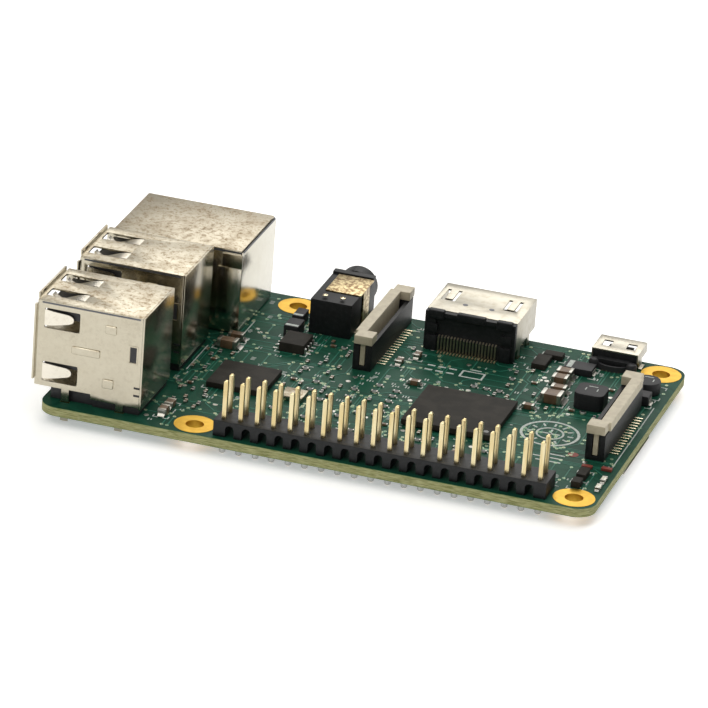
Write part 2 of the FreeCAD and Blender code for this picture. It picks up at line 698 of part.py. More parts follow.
def video_socket():
    """Shell on four legs, insulator with a tongue, nineteen contacts."""
    tube = socket_shell("video", "1.6", "1.4", "0.35")
    sides = list(enumerate(("-4.6", "5.2")))
    holes = [roof_window("video", number, offset, "1.1", ("0.6", "4.9")) for number, offset in sides]
    ribs = [roof_window("video", number, offset, "0.6", ("0.6", "4.3")) for number, offset in sides]
    legs = []
    for start in VIDEO_LEGS:
        for side in (-1, 1):
            outer = f"video_mid + {side} * video_half"
            inner = f"video_mid + {side} * (video_half - video_sheet)"
            leg_x = (outer, inner) if side < 0 else (inner, outer)
            leg_z = ("-board_thick - lead_drop", "1.7")
            legs.append(block(f"video_leg_{len(legs)}", leg_x, (start, f"{start} + leg_wide"), leg_z))
    pierced = cut("video_pierced", tube, *holes)
    hand_over("video_shell", fuse("video_shell", pierced, *ribs, *legs))

    core = body("video_core")
    filling = sketch(core, "XZ_Plane", "video_filling")
    tapered_profile(filling, "video_half", "video_top", "1.6", "1.4", "0.35", inset="video_sheet")
    pad(core, filling, "video_rear - 6.8", reverse=True)
    place(core, "video_mid", "6.8", "0")
    rear_y = ("video_rear", "video_back")
    moulding = [
        core,
        block("video_rear_wall", about("video_mid", "video_half"), rear_y, ("0", "6.2")),
        block("video_tongue", about("video_mid", "5.2"), ("-0.4", "6.8"), ("3.2", "4.2")),
    ]
    recess_y = ("video_back - 0.35", "video_back")
    recess = block("video_recess", about("video_mid", "5.4"), recess_y, ("2.4", "5.5"))
    contacts = []
    for number in range(19):
        upper = number % 2 == 0
        across = f"video_mid + {(number - 9) * 0.5}"
        strip_z = ("4.2", "4.35") if upper else ("3.05", "3.2")
        lead_y = "9.6" if upper else "9.3"
        strip_x = about(across, "0.14")
        riser_y = (f"{lead_y} - 0.15", lead_y)
        pieces = [
            block(f"video_strip_{number}", strip_x, ("0", lead_y), strip_z),
            block(f"video_riser_{number}", strip_x, riser_y, ("0", strip_z[1])),
            block(f"video_foot_{number}", strip_x, (riser_y[0], "11.3"), ("0", "0.15")),
        ]
        contacts.append(fuse(f"video_contact_{number}", *pieces))
    solid = fuse("video_moulding", *moulding)
    hand_over("video_insulator", cut("video_insulator", solid, recess, *contacts))
    hand_over("video_contacts", *contacts)


def power_socket():
    """The small power socket: shell with a solder wing each side, insulator, five contacts."""
    tube = socket_shell("power", "1.2", "0.75", "0.2")
    sides = enumerate(("-1.9", "1.9"))
    holes = [roof_window("power", number, offset, "0.7", ("0.4", "2.6")) for number, offset in sides]
    wings = []
    for side in (-1, 1):
        near = f"power_mid + {side} * power_half"
        far = f"power_mid + {side} * (power_half + 0.5)"
        span = (far, near) if side < 0 else (near, far)
        wings.append(block(f"power_wing_{side + 1}", span, ("1.4", "3.4"), ("0", "0.25")))
        post = (near, f"{near} + 0.25") if side < 0 else (f"{near} - 0.25", near)
        wings.append(block(f"power_post_{side + 1}", post, ("1.4", "3.4"), ("0", "1.3")))
    hand_over("power_shell", fuse("power_shell", cut("power_pierced", tube, *holes), *wings))

    core = body("power_core")
    filling = sketch(core, "XZ_Plane", "power_filling")
    tapered_profile(filling, "power_half", "power_top", "1.2", "0.75", "0.2", inset="power_sheet")
    pad(core, filling, "power_rear - 3.2", reverse=True)
    place(core, "power_mid", "3.2", "0")
    tail = block("power_tail", about("power_mid", "2.6"), ("power_rear", "power_rear + 1"), ("0", "1.5"))
    tongue = block("power_tongue", about("power_mid", "1.9"), ("-0.4", "3.2"), ("1.35", "1.85"))
    contacts = []
    for number in range(5):
        across = f"power_mid + {(number - 2) * 0.65}"
        riser_x = about(across, "0.1")
        pieces = [
            block(f"power_strip_{number}", riser_x, ("-0.2", "4.9"), ("1.25", "1.35")),
            block(f"power_riser_{number}", riser_x, ("4.8", "4.9"), ("0", "1.35")),
            block(f"power_foot_{number}", riser_x, ("4.8", "6.2"), ("0", "0.12")),
        ]
        contacts.append(fuse(f"power_contact_{number}", *pieces))
    moulding = fuse("power_moulding", core, tail, tongue)
    hand_over("power_insulator", cut("power_insulator", moulding, *contacts))
    hand_over("power_contacts", *contacts)


# ---------------------------------------------------------------- audio jack

def audio_jack():
    """Moulded body with a round nose, a tin sleeve plate and three side springs."""
    wide = about("jack_mid", "jack_half")
    solids = [
        block("jack_block", wide, ("1.3", "jack_end"), ("0", "jack_deck")),
        block("jack_collar", wide, ("0", "1.3"), ("0", "jack_tall")),
        rod("jack_round", ("jack_mid", "jack_nose", "jack_axis"), "3", "-jack_nose", axis="Y"),
    ]
    for number, across in enumerate(JACK_PEGS):
        spot = ("jack_mid", across, "-1.2")
        solids.append(rod(f"jack_peg_{number}", spot, "0.6", "1.3"))
    bore = rod("jack_hole", ("jack_mid", "jack_nose", "jack_axis"), "jack_bore", "13.9", axis="Y")
    plate_z = ("jack_deck", "jack_deck + 0.2")
    side_x = ("jack_mid - jack_half - 0.2", "jack_mid - jack_half")
    foot_x = ("jack_mid - jack_half - 1.1", "jack_mid - jack_half")
    sleeve = fuse(
        "jack_sleeve_plate",
        block("sleeve_top", ("jack_mid - jack_half - 0.2", "jack_mid + 2.2"), ("1.5", "8.4"), plate_z),
        block("sleeve_side", side_x, ("3.6", "6.8"), ("0", "jack_deck + 0.2")),
        block("sleeve_foot", foot_x, ("3.9", "6.5"), ("0", "0.2")),
    )
    springs = []
    for number, (side, across) in enumerate((("+", "4.4"), ("+", "9.2"), ("-", "9.2"))):
        wall = f"jack_mid {side} jack_half"
        inner = f"jack_mid {side} (jack_bore + 0.15)"
        pit_x = (wall, inner) if side == "-" else (inner, wall)
        foot = f"jack_mid {side} (jack_half + 0.9)"
        foot_x = (foot, inner) if side == "-" else (inner, foot)
        strip_x = (f"{inner} - 0.25", inner) if side == "-" else (inner, f"{inner} + 0.25")
        strip = block(f"jack_strip_{number}", strip_x, about(across, "0.7"), ("0", "4.6"))
        lead = block(f"jack_lead_{number}", foot_x, about(across, "0.7"), ("0", "0.2"))
        springs.append(fuse(f"jack_spring_{number}", strip, lead))
    hand_over("jack_housing", cut("jack_housing", fuse("jack_moulding", *solids), bore, *springs))
    hand_over("jack_sleeve_plate", sleeve)
    hand_over("jack_spring_contacts", *springs)


# ---------------------------------------------------------------- flat-cable connectors

def flat_cable_connector(tag, side):
    """Housing with a cable slot, fifteen contacts, and the actuator that slides up to open.

    The actuator's bar stands on one side of the slot; every contact foot points to -X.
    """
    along = f"{tag}_x"
    across = f"{tag}_y"
    wide = about(along, "1.45")
    end_far = (f"{across} + 9.6", f"{across} + flat_half")
    end_near = (f"{across} - flat_half", f"{across} - 9.6")
    guide_z = ("0.7", "flat_tall")
    solid = block(f"{tag}_solid", wide, about(across, "flat_half - 0.3"), ("0", "flat_tall"))
    slot_x = toward(along, side, "-0.85", "0.5")
    slot = block(f"{tag}_slot", slot_x, about(across, "8.6"), ("1", "flat_tall"))
    guides = [
        block(f"{tag}_guide_far", about(along, "0.5"), end_far, guide_z),
        block(f"{tag}_guide_near", about(along, "0.5"), end_near, guide_z),
    ]
    strip_x = toward(along, side, "-1.1", "-0.85")
    contacts = []
    for number in range(15):
        middle = f"{across} + {number - 7} * flat_pitch"
        strip = block(f"{tag}_strip_{number}", strip_x, about(middle, "0.15"), ("0", "3.9"))
        foot_x = (f"{along} - 2.7", strip_x[1])
        foot = block(f"{tag}_foot_{number}", foot_x, about(middle, "0.15"), ("0", "0.15"))
        contacts.append(fuse(f"{tag}_contact_{number}", strip, foot))
    housing = cut(f"{tag}_connector_housing", solid, slot, *guides, *contacts)
    hand_over(f"{tag}_connector_housing", housing)
    hand_over(f"{tag}_connector_contacts", *contacts)

    bar_z = ("flat_tall + flat_play", "flat_top")
    leg_z = ("0.7 + flat_play", "flat_top - 0.2")
    wing_x = toward(along, side, "-1.5", "1.35")
    wing_far = (f"{across} + 8.4", f"{across} + flat_half")
    wing_near = (f"{across} - flat_half", f"{across} - 8.4")
    blade_z = ("1.4", "flat_top - 0.2")
    pieces = [
        block(f"{tag}_bar", toward(along, side, "0.05", "1.75"), about(across, "8.9"), bar_z),
        block(f"{tag}_wing_far", wing_x, wing_far, bar_z),
        block(f"{tag}_wing_near", wing_x, wing_near, bar_z),
        block(f"{tag}_blade", toward(along, side, "0.05", "0.4"), about(across, "8.3"), blade_z),
        block(f"{tag}_leg_far", about(along, "0.4"), (f"{across} + 9.75", f"{across} + 10.55"), leg_z),
        block(f"{tag}_leg_near", about(along, "0.4"), (f"{across} - 10.55", f"{across} - 9.75"), leg_z),
    ]
    hand_over(f"{tag}_actuator", fuse(f"{tag}_actuator", *pieces))


# ---------------------------------------------------------------- memory card socket

def card_socket():
    """Base with contacts, sheet shell, and the push-push ejector with its spring."""
    zero = "-board_thick"
    sole = f"{zero} - card_deep"
    roof = f"{sole} + card_sheet"
    floor = f"{zero} - card_floor"
    long = ("card_mouth", "card_back")
    walls = [
        block("card_plate", long, about("card_mid", "card_half"), (floor, zero)),
        block("card_wall_far", long, ("card_mid + 6", "card_mid + 7"), (roof, floor)),
        block("card_wall_near", long, ("card_mid - 7", "card_mid - 6.8"), (roof, floor)),
        block("card_wall_rear", ("14.6", "card_back"), about("card_mid", "7"), (roof, floor)),
        block("card_stop", ("5.4", "6"), ("card_mid - 7", "card_mid - 5.9"), (roof, floor)),
    ]
    contacts = []
    under = f"{floor} - 0.12"
    for number in range(8):
        strip_y = about(f"card_mid + {(number - 3.5) * 1.1}", "0.25")
        strip = block(f"card_strip_{number}", ("5", "15.3"), strip_y, (under, floor))
        riser = block(f"card_riser_{number}", ("card_back", "15.3"), strip_y, (under, zero))
        foot = block(f"card_foot_{number}", ("card_back", "16.4"), strip_y, (f"{zero} - 0.12", zero))
        contacts.append(fuse(f"card_contact_{number}", strip, riser, foot))
    hand_over("card_socket_base", cut("card_socket_base", fuse("card_moulding", *walls), *contacts))
    hand_over("card_socket_contacts", *contacts)

    skirt_z = (sole, floor)
    shell = fuse(
        "card_socket_shell",
        block("card_cover", long, about("card_mid", "card_half"), (sole, roof)),
        block("card_skirt_far", long, ("card_mid + 7", "card_mid + card_half"), skirt_z),
        block("card_skirt_near", long, ("card_mid - card_half", "card_mid - 7"), skirt_z),
    )
    hand_over("card_socket_shell", shell)

    slide_z = (f"{roof} + 0.1", f"{floor} - 0.2")
    slider = fuse(
        "card_ejector",
        block("ejector_bar", ("6.1", "9"), ("card_mid - 6.7", "card_mid - 5.7"), slide_z),
        block("ejector_finger", ("8.2", "9"), ("card_mid - 5.7", "card_mid - 4.5"), slide_z),
    )
    hand_over("card_ejector", slider)

    turns = 9
    radius = 0.26
    wire = 0.06
    start = 9.0 + wire
    end = 14.6 - wire
    helix = Part.makeHelix((end - start) / turns, end - start, radius)
    loop = Part.makeCircle(wire, FreeCAD.Vector(radius, 0, 0), FreeCAD.Vector(0, 1, 0))
    coil = Part.Wire(helix).makePipeShell([Part.Wire(loop)], True, True)
    coil.rotate(FreeCAD.Vector(0, 0, 0), FreeCAD.Vector(0, 1, 0), 90)
    middle = -value("board_thick") - value("card_floor") - 0.4
    coil.translate(FreeCAD.Vector(start, value("card_mid") - 6.2, middle))
    spring = doc.addObject("Part::Feature", "card_ejector_spring")
    spring.Shape = Part.makeCompound([coil])
    hand_over("card_ejector_spring", spring)


# ---------------------------------------------------------------- chips and small parts

def ball_grid(node, middle_x, middle_y, columns, rows, z_low):
    """Flattened solder balls on a one millimetre grid."""
    balls = []
    for column in range(columns):
        for row in range(rows):
            along = value(middle_x) + column - (columns - 1) / 2
            across = value(middle_y) + row - (rows - 1) / 2
            spot = FreeCAD.Vector(along, across, value(z_low))
            balls.append(Part.makeCylinder(value("ball_radius"), value("ball_gap"), spot))
    field = doc.addObject("Part::Feature", node)
    field.Shape = Part.makeCompound(balls)
    hand_over(node, field)


def large_chips():
    """Processor on top, memory beneath it, and the hub chip by the sockets."""
    half = "processor_side / 2"
    spot = (about("processor_x", half), about("processor_y", half))
    hand_over("processor", block("processor_body", *spot, ("ball_gap", "1.1")))
    ball_grid("processor_solder_balls", "processor_x", "processor_y", 13, 13, "0")
    under = "-board_thick - ball_gap"
    spot = (about("processor_x", "memory_long / 2"), about("processor_y", "memory_wide / 2"))
    hand_over("memory_chip", block("memory_body", *spot, (f"{under} - 0.75", under)))
    ball_grid("memory_solder_balls", "processor_x", "processor_y", 11, 9, under)
    spot = (about("hub_x", "hub_side / 2"), about("hub_y", "hub_side / 2"))
    hand_over("hub_chip", block("hub_body", *spot, ("0", "0.9")))


# Middle X and Y, size along X, Y and Z.
SMALL_CHIPS = (
    (56.95, 18.65, 3.9, 4.9, 1.5),
    (20.1, 4.7, 3.0, 1.8, 0.8),
    (21.1, 8.1, 2.2, 4.2, 0.9),
    (4.3, 44.9, 1.4, 2.9, 1.0),
    (4.3, 48.2, 1.4, 1.9, 1.0),
)
CERAMICS = (
    (16.5, 11.4, 2.4, 1.9, 1.5),
    (16.5, 14.0, 2.4, 1.9, 1.5),
    (15.8, 17.3, 2.4, 1.5, 1.3),
    (15.9, 20.7, 3.2, 2.5, 1.6),
    (66.9, 51.0, 1.3, 2.0, 1.2),
    (66.9, 48.0, 1.3, 2.0, 1.0),
    (66.0, 20.0, 2.4, 1.3, 1.2),
    (66.3, 23.2, 3.2, 1.8, 1.4),
    (39.0, 14.0, 1.0, 1.8, 0.8),
    (40.8, 17.5, 1.0, 1.8, 0.8),
    (36.4, 24.0, 1.8, 1.0, 0.8),
    (18.4, 24.8, 1.8, 1.0, 0.8),
)
RESISTORS = tuple(
    (along, across, 1.0, 0.5, 0.35)
    for along, across in (
        (38.0, 28.0), (38.0, 30.0), (38.0, 32.0), (38.0, 34.0), (38.0, 36.0), (41.0, 27.0),
        (41.0, 29.5), (41.0, 38.0), (44.0, 30.0), (44.0, 33.0), (47.5, 36.0), (50.0, 30.0),
        (50.0, 33.0), (50.0, 40.0), (53.0, 26.0), (53.0, 42.0), (24.0, 21.0), (26.0, 21.0),
        (28.0, 21.0), (20.0, 43.0), (24.0, 43.5), (30.0, 43.5), (34.0, 43.5), (2.0, 40.6),
    )
)
TANTALUMS = (
    (59.4, 9.0, 1.7, 3.3, 1.6),
    (58.9, 13.7, 2.3, 3.4, 1.8),
)


def field_of_blocks(node, table):
    """Like parts that lie on the board, one solid each, in one node."""
    solids = [
        Part.makeBox(long, wide, tall, FreeCAD.Vector(along - long / 2, across - wide / 2, 0))
        for along, across, long, wide, tall in table
    ]
    field = doc.addObject("Part::Feature", node)
    field.Shape = Part.makeCompound(solids)
    hand_over(node, field)


def small_parts():
    """Everything low that is soldered to the top face."""
    field_of_blocks("small_chips", SMALL_CHIPS)
    field_of_blocks("ceramic_capacitors", CERAMICS)
    field_of_blocks("resistors", RESISTORS)
    field_of_blocks("tantalum_capacitors", TANTALUMS)
    along, across, long, wide, tall = SMALL_CHIPS[0]
    leads = []
    for side in (-1, 1):
        for number in range(4):
            middle = across + (number - 1.5) * 1.27
            near = along + side * long / 2
            far = near + side * 1.05
            step = near + side * 0.35
            lead = Part.makeBox(abs(far - near), 0.4, 0.2, FreeCAD.Vector(min(near, far), middle - 0.2, 0))
            knee = Part.makeBox(0.35, 0.4, 0.9, FreeCAD.Vector(min(near, step), middle - 0.2, 0))
            leads.append(lead.fuse(knee).removeSplitter())
    field = doc.addObject("Part::Feature", "chip_leads")
    field.Shape = Part.makeCompound(leads)
    hand_over("chip_leads", field)

    coil = Part.makeBox(4.6, 4.6, 2.6, FreeCAD.Vector(7.9, 17.2, 0))
    corners = [edge for edge in coil.Edges if edge.BoundBox.ZLength > 2]
    coil = coil.makeFillet(1.1, corners)
    inductors = doc.addObject("Part::Feature", "power_inductors")
    inductors.Shape = Part.makeCompound([coil, Part.makeCylinder(2.0, 2.0, FreeCAD.Vector(3.8, 10.8, 0))])
    hand_over("power_inductors", inductors)

    hand_over("resettable_fuse", block("fuse_body", ("12.9", "17.3"), ("6.6", "9.6"), ("0", "1.1")))
    hand_over("surge_diode", block("diode_body", ("2.2", "4.8"), ("13.9", "16.3"), ("0", "1.6")))
    crystal = block("crystal_can", ("49.6", "53"), ("35", "38.4"), ("0", "0.8"))
    hand_over("crystal_oscillator", crystal)
    lamps = [
        block("lamp_power", ("0.7", "1.5"), ("44.3", "45.9"), ("0", "0.6")),
        block("lamp_activity", ("0.7", "1.5"), ("47.2", "48.8"), ("0", "0.6")),
    ]
    hand_over("status_lights", *lamps)


circuit_board()
plated_mounting_holes()
header_housing()
header_pins()
for letter in ("a", "b"):
    usb_shell(letter, f"usb_{letter}_mid")
    usb_inside(letter, f"usb_{letter}_mid")
network_shell()
network_inside()
video_socket()
power_socket()
audio_jack()
flat_cable_connector("camera", 1)
flat_cable_connector("display", -1)
card_socket()
large_chips()
small_parts()
doc.recompute()

for item in doc.Objects:
    if "Invalid" in item.State or "Error" in item.State:
        raise ValueError(f"{item.Label} failed: {item.State}")
for item in sub_parts:
    if item.Shape.isNull() or not item.Shape.isValid():
        raise ValueError(f"{item.Label} has no valid shape")

os.makedirs("parts", exist_ok=True)
for item in sub_parts:
    item.Shape.exportStep(f"parts/{item.Label}.step")
print(len(sub_parts), "sub-parts written")
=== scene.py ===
import math
import random

import bmesh
import bpy
import numpy as np
from mathutils import Matrix, Vector


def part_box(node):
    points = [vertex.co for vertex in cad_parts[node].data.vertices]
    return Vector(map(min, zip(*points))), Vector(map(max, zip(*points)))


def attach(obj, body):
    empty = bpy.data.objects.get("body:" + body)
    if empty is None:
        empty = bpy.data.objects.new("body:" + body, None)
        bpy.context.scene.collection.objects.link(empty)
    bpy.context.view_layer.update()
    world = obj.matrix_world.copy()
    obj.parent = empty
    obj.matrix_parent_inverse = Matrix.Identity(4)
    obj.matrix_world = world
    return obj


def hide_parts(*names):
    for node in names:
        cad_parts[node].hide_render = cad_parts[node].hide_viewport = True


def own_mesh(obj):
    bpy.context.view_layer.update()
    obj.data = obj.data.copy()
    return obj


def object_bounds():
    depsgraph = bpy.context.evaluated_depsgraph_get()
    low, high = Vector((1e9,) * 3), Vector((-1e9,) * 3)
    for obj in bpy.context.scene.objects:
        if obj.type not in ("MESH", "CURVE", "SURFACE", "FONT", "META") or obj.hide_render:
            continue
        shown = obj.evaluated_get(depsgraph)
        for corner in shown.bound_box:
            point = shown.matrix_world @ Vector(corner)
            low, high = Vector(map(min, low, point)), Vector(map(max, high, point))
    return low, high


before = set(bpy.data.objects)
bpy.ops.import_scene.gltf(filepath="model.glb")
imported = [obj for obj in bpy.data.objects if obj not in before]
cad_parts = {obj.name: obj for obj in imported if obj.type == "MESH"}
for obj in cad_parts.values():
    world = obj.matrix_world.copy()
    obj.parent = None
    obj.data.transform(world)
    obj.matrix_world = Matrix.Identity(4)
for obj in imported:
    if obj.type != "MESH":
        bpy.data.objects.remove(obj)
cad_box = [list(corner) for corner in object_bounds()]


# The bench: a sheet of plain pale paper that the lead tips stand on, lit by three broad soft
# panels and a dim sky, with the camera looking down across the board from the pin header's side.
MM = 0.001
board_low, board_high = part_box("circuit_board")


def at(along, across, up):
    """A place in the board's drawing: millimetres from its corner and from its top face."""
    return Vector((board_low.x + along * MM, board_low.y + across * MM, board_high.z + up * MM))


scene = bpy.context.scene
scene.view_settings.view_transform = "Standard"

camera_data = bpy.data.cameras.new("camera")
camera_data.sensor_width = 36.0
camera_data.lens = 305.1
camera_data.clip_start = 0.05
camera_data.clip_end = 20.0
camera = bpy.data.objects.new("camera", camera_data)
scene.collection.objects.link(camera)
azimuth, elevation, roll = (math.radians(angle) for angle in (195.91, 23.38, 4.28))
distance = 0.9089
aim = at(48.13, 17.15, 0)
back = Vector((
    math.sin(azimuth) * math.cos(elevation),
    -math.cos(azimuth) * math.cos(elevation),
    math.sin(elevation),
))
level_right = (-back).cross(Vector((0, 0, 1))).normalized()
level_up = level_right.cross(-back)
right = math.cos(roll) * level_right + math.sin(roll) * level_up
up = math.cos(roll) * level_up - math.sin(roll) * level_right
turn = Matrix((right, up, back)).transposed().to_4x4()
camera.matrix_world = Matrix.Translation(aim + back * distance) @ turn
scene.camera = camera

world = bpy.data.worlds.new("studio")
world.use_nodes = True
sky = world.node_tree
heading = sky.nodes.new("ShaderNodeTexCoord")
height = sky.nodes.new("ShaderNodeSeparateXYZ")
shade = sky.nodes.new("ShaderNodeValToRGB")
sky.links.new(heading.outputs["Generated"], height.inputs[0])
sky.links.new(height.outputs["Z"], shade.inputs[0])
sky.links.new(shade.outputs[0], sky.nodes["Background"].inputs["Color"])
shade.color_ramp.elements[0].color = (0.3, 0.295, 0.28, 1)
shade.color_ramp.elements[1].position = 0.75
shade.color_ramp.elements[1].color = (1.0, 0.99, 0.97, 1)
sky.nodes["Background"].inputs["Strength"].default_value = 0.34
scene.world = world


def panel(name, place, aim, side, power, warmth):
    """A square soft light that faces a point."""
    data = bpy.data.lights.new(name, "AREA")
    data.size = side
    data.energy = power
    data.color = warmth
    lamp = bpy.data.objects.new(name, data)
    lamp.location = place
    lamp.rotation_mode = "QUATERNION"
    lamp.rotation_quaternion = (Vector(aim) - Vector(place)).to_track_quat("-Z", "Y")
    scene.collection.objects.link(lamp)


panel("key_panel", (0.25, 0.5, 0.7), (0, 0, 0), 0.5, 2.2, (1, 0.97, 0.92))
panel("top_panel", (-0.15, -0.1, 0.8), (0, 0, 0), 0.6, 1.7, (1, 1, 1))
panel("far_panel", (0.05, -0.75, 0.62), (0, 0, 0), 0.7, 4.0, (1, 0.98, 0.95))

floor_mesh = bpy.data.meshes.new("bench_top")
reach = 6.0
floor_z = cad_box[0][2]
corners = ((-1, -1), (1, -1), (1, 1), (-1, 1))
floor_mesh.from_pydata([(reach * x, reach * y, floor_z) for x, y in corners], [], [(0, 1, 2, 3)])
bench_top = bpy.data.objects.new("bench_top", floor_mesh)
scene.collection.objects.link(bench_top)


class Wire:
    """One value of a material, which varies over the part; arithmetic on it adds the nodes."""

    def __init__(self, paint, socket):
        self.paint = paint
        self.socket = socket

    def maths(self, operation, first, second):
        return self.paint.node("Math", {"operation": operation}, {0: first, 1: second})

    def __add__(self, other):
        return self.maths("ADD", self, other)

    __radd__ = __add__

    def __sub__(self, other):
        return self.maths("SUBTRACT", self, other)

    def __rsub__(self, other):
        return self.maths("SUBTRACT", other, self)

    def __mul__(self, other):
        return self.maths("MULTIPLY", self, other)

    __rmul__ = __mul__

    def between(self, low, high):
        """0 below low, 1 above high, and a smooth rise from one to the other."""
        settings = {"interpolation_type": "SMOOTHSTEP"}
        sockets = {"Value": self, "From Min": low, "From Max": high}
        return self.paint.node("MapRange", settings, sockets)


class Paint:
    """One material and its nodes, with places measured in millimetres of the board's frame."""

    def __init__(self, name):
        self.material = bpy.data.materials.new(name)
        self.material.use_nodes = True
        self.tree = self.material.node_tree
        self.tree.nodes.clear()
        place = self.node("TexCoord", out="Object")
        self.mm = self.node("VectorMath", {"operation": "SCALE"}, {0: place, "Scale": 1000.0})

    def node(self, kind, settings=None, sockets=None, out=0):
        """Any node: its settings first, then its sockets' values or links."""
        made = self.tree.nodes.new("ShaderNode" + kind)
        for key, item in (settings or {}).items():
            setattr(made, key, item)
        for key, item in (sockets or {}).items():
            if isinstance(item, Wire):
                self.tree.links.new(item.socket, made.inputs[key])
            else:
                made.inputs[key].default_value = item
        return Wire(self, made.outputs[out]) if made.outputs else None

    def noise(self, scale, detail=3.0, rough=0.55, stretch=(1, 1, 1)):
        place = self.node("VectorMath", {"operation": "MULTIPLY"}, {0: self.mm, 1: stretch})
        sockets = {"Vector": place, "Scale": scale, "Detail": detail, "Roughness": rough}
        return self.node("TexNoise", {}, sockets)

    def axis(self, name):
        return self.node("SeparateXYZ", {}, {0: self.mm}, out=name)

    def facing(self, name):
        """How far the surface faces along an axis of the board, from -1 to 1."""
        normal = self.node("NewGeometry", out="Normal")
        return self.node("SeparateXYZ", {}, {0: normal}, out=name)

    def blend(self, amount, first, second):
        sockets = {0: amount}
        for key, colour in ((6, first), (7, second)):
            sockets[key] = colour if isinstance(colour, Wire) else (*colour, 1)
        return self.node("Mix", {"data_type": "RGBA"}, sockets, out=2)

    def bump(self, height, depth, strength=1.0):
        return self.node("Bump", {}, {"Height": height, "Distance": depth * MM, "Strength": strength})

    def finish(self, colour, rough, metal=0.0, normal=None, **extra):
        """End in a Principled surface and return the material."""
        sockets = {"Roughness": rough, "Metallic": metal}
        sockets["Base Color"] = colour if isinstance(colour, Wire) else (*colour, 1)
        if normal is not None:
            sockets["Normal"] = normal
        for key, item in extra.items():
            sockets[key.replace("_", " ").title().replace("Ior", "IOR")] = item
        surface = self.node("BsdfPrincipled", {}, sockets)
        self.node("OutputMaterial", {}, {"Surface": surface})
        return self.material


paper = Paint("bench_paper")
grain = paper.noise(0.6)
shade = paper.blend(grain, (0.93, 0.93, 0.92), (0.96, 0.96, 0.95))
glow = {"emission_color": (1, 1, 1, 1), "emission_strength": 0.4}
bench_top.data.materials.append(paper.finish(shade, 0.9, normal=paper.bump(grain, 0.02), **glow))


# The circuit board: woven glass and epoxy with copper on both faces under a green solder mask.
# Milled edges show the bare laminate in thin layers; copper fills lie a shade lighter.
def dress(node, material):
    """Give a CAD node's own object its finished material."""
    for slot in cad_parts[node].material_slots:
        slot.material = material


mask = Paint("solder_mask_and_laminate")
flow = mask.noise(0.11, 2.0)
fills = mask.noise(0.16, 0.0)
poured = (fills.between(0.49, 0.5) - fills.between(0.56, 0.57)) * 0.5 + fills.between(0.62, 0.63) * 0.5
deep = mask.blend(flow.between(0.35, 0.7), (0.006, 0.05, 0.03), (0.009, 0.066, 0.038))
green = mask.blend(poured * 0.6, deep, (0.015, 0.1, 0.058))
hatch = mask.noise(5.0, 2.0).between(0.55, 0.75)
green = mask.blend(hatch * 0.07, green, (0.12, 0.3, 0.2))
layers = mask.noise(1.0, 2.0, stretch=(0.5, 0.5, 7.0))
fibres = mask.noise(2.2, 3.0, stretch=(0.6, 0.6, 3.0))
core = mask.blend(layers.between(0.35, 0.65), (0.2, 0.21, 0.08), (0.4, 0.4, 0.2))
core = mask.blend(fibres.between(0.5, 0.75) * 0.5, core, (0.5, 0.5, 0.33))
skin = mask.axis("Z")
near_face = 1 - (skin.between(0.03, 0.12) - skin.between(1.28, 1.37))
edge = mask.blend(near_face * 0.75, core, (0.06, 0.17, 0.06))
upright = mask.facing("Z")
flat = (upright * upright).between(0.4, 0.6)
colour = mask.blend(flat, edge, green)
relief = mask.bump(poured * 0.5 + hatch * 0.25, 0.02)
dress("circuit_board", mask.finish(colour, 0.62 - flat * 0.22, normal=relief, specular_ior_level=0.07))


# Copper tracks: etched lines a fifth of a millimetre wide that run level or at 45 degrees and
# end in small plated holes. Both faces have them, as fine lighter ridges under the mask.
UP = Vector((0, 0, 1))
FULL_SIZE = (1, 1, 1)


def piece(name, form, finish, nodes=(), body="board"):
    """Make a finished mesh a piece of the object; nodes are the CAD parts that it stands for."""
    if isinstance(form, bmesh.types.BMesh):
        bmesh.ops.recalc_face_normals(form, faces=form.faces)
        mesh = bpy.data.meshes.new(name)
        form.to_mesh(mesh)
        form.free()
    else:
        mesh = form
        mesh.name = name
    mesh.materials.clear()
    mesh.materials.append(finish)
    mesh.shade_smooth()
    mesh.set_sharp_from_angle(angle=math.radians(28))
    made = bpy.data.objects.new(name, mesh)
    scene.collection.objects.link(made)
    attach(made, body)
    if nodes:
        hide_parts(*nodes)
    return made


def bar(bm, line, wide, tall, axis, closed=False):
    """A strip along a bent line: wide across the line, and tall along the axis square to it.
    A list of heights, one for each point, tapers it."""
    axis = Vector(axis).normalized()
    count = len(line)
    heights = tall if isinstance(tall, list) else [tall] * count
    rings = []
    for i, point in enumerate(line):
        ways = []
        if i or closed:
            ways.append((point - line[i - 1]).normalized())
        if i < count - 1 or closed:
            ways.append((line[(i + 1) % count] - point).normalized())
        crosses = [axis.cross(way) for way in ways]
        side = sum(crosses, Vector()).normalized()
        side = side * (wide / 2 / max(0.5, side.dot(crosses[0])))
        rise = axis * heights[i] / 2
        corners = ((1, 1), (-1, 1), (-1, -1), (1, -1))
        rings.append([bm.verts.new(point + side * a + rise * b) for a, b in corners])
    for i in range(count if closed else count - 1):
        first, second = rings[i], rings[(i + 1) % count]
        for k in range(4):
            bm.faces.new((first[k], second[k], second[(k + 1) % 4], first[(k + 1) % 4]))
    if not closed:
        bm.faces.new(rings[0][::-1])
        bm.faces.new(rings[-1])


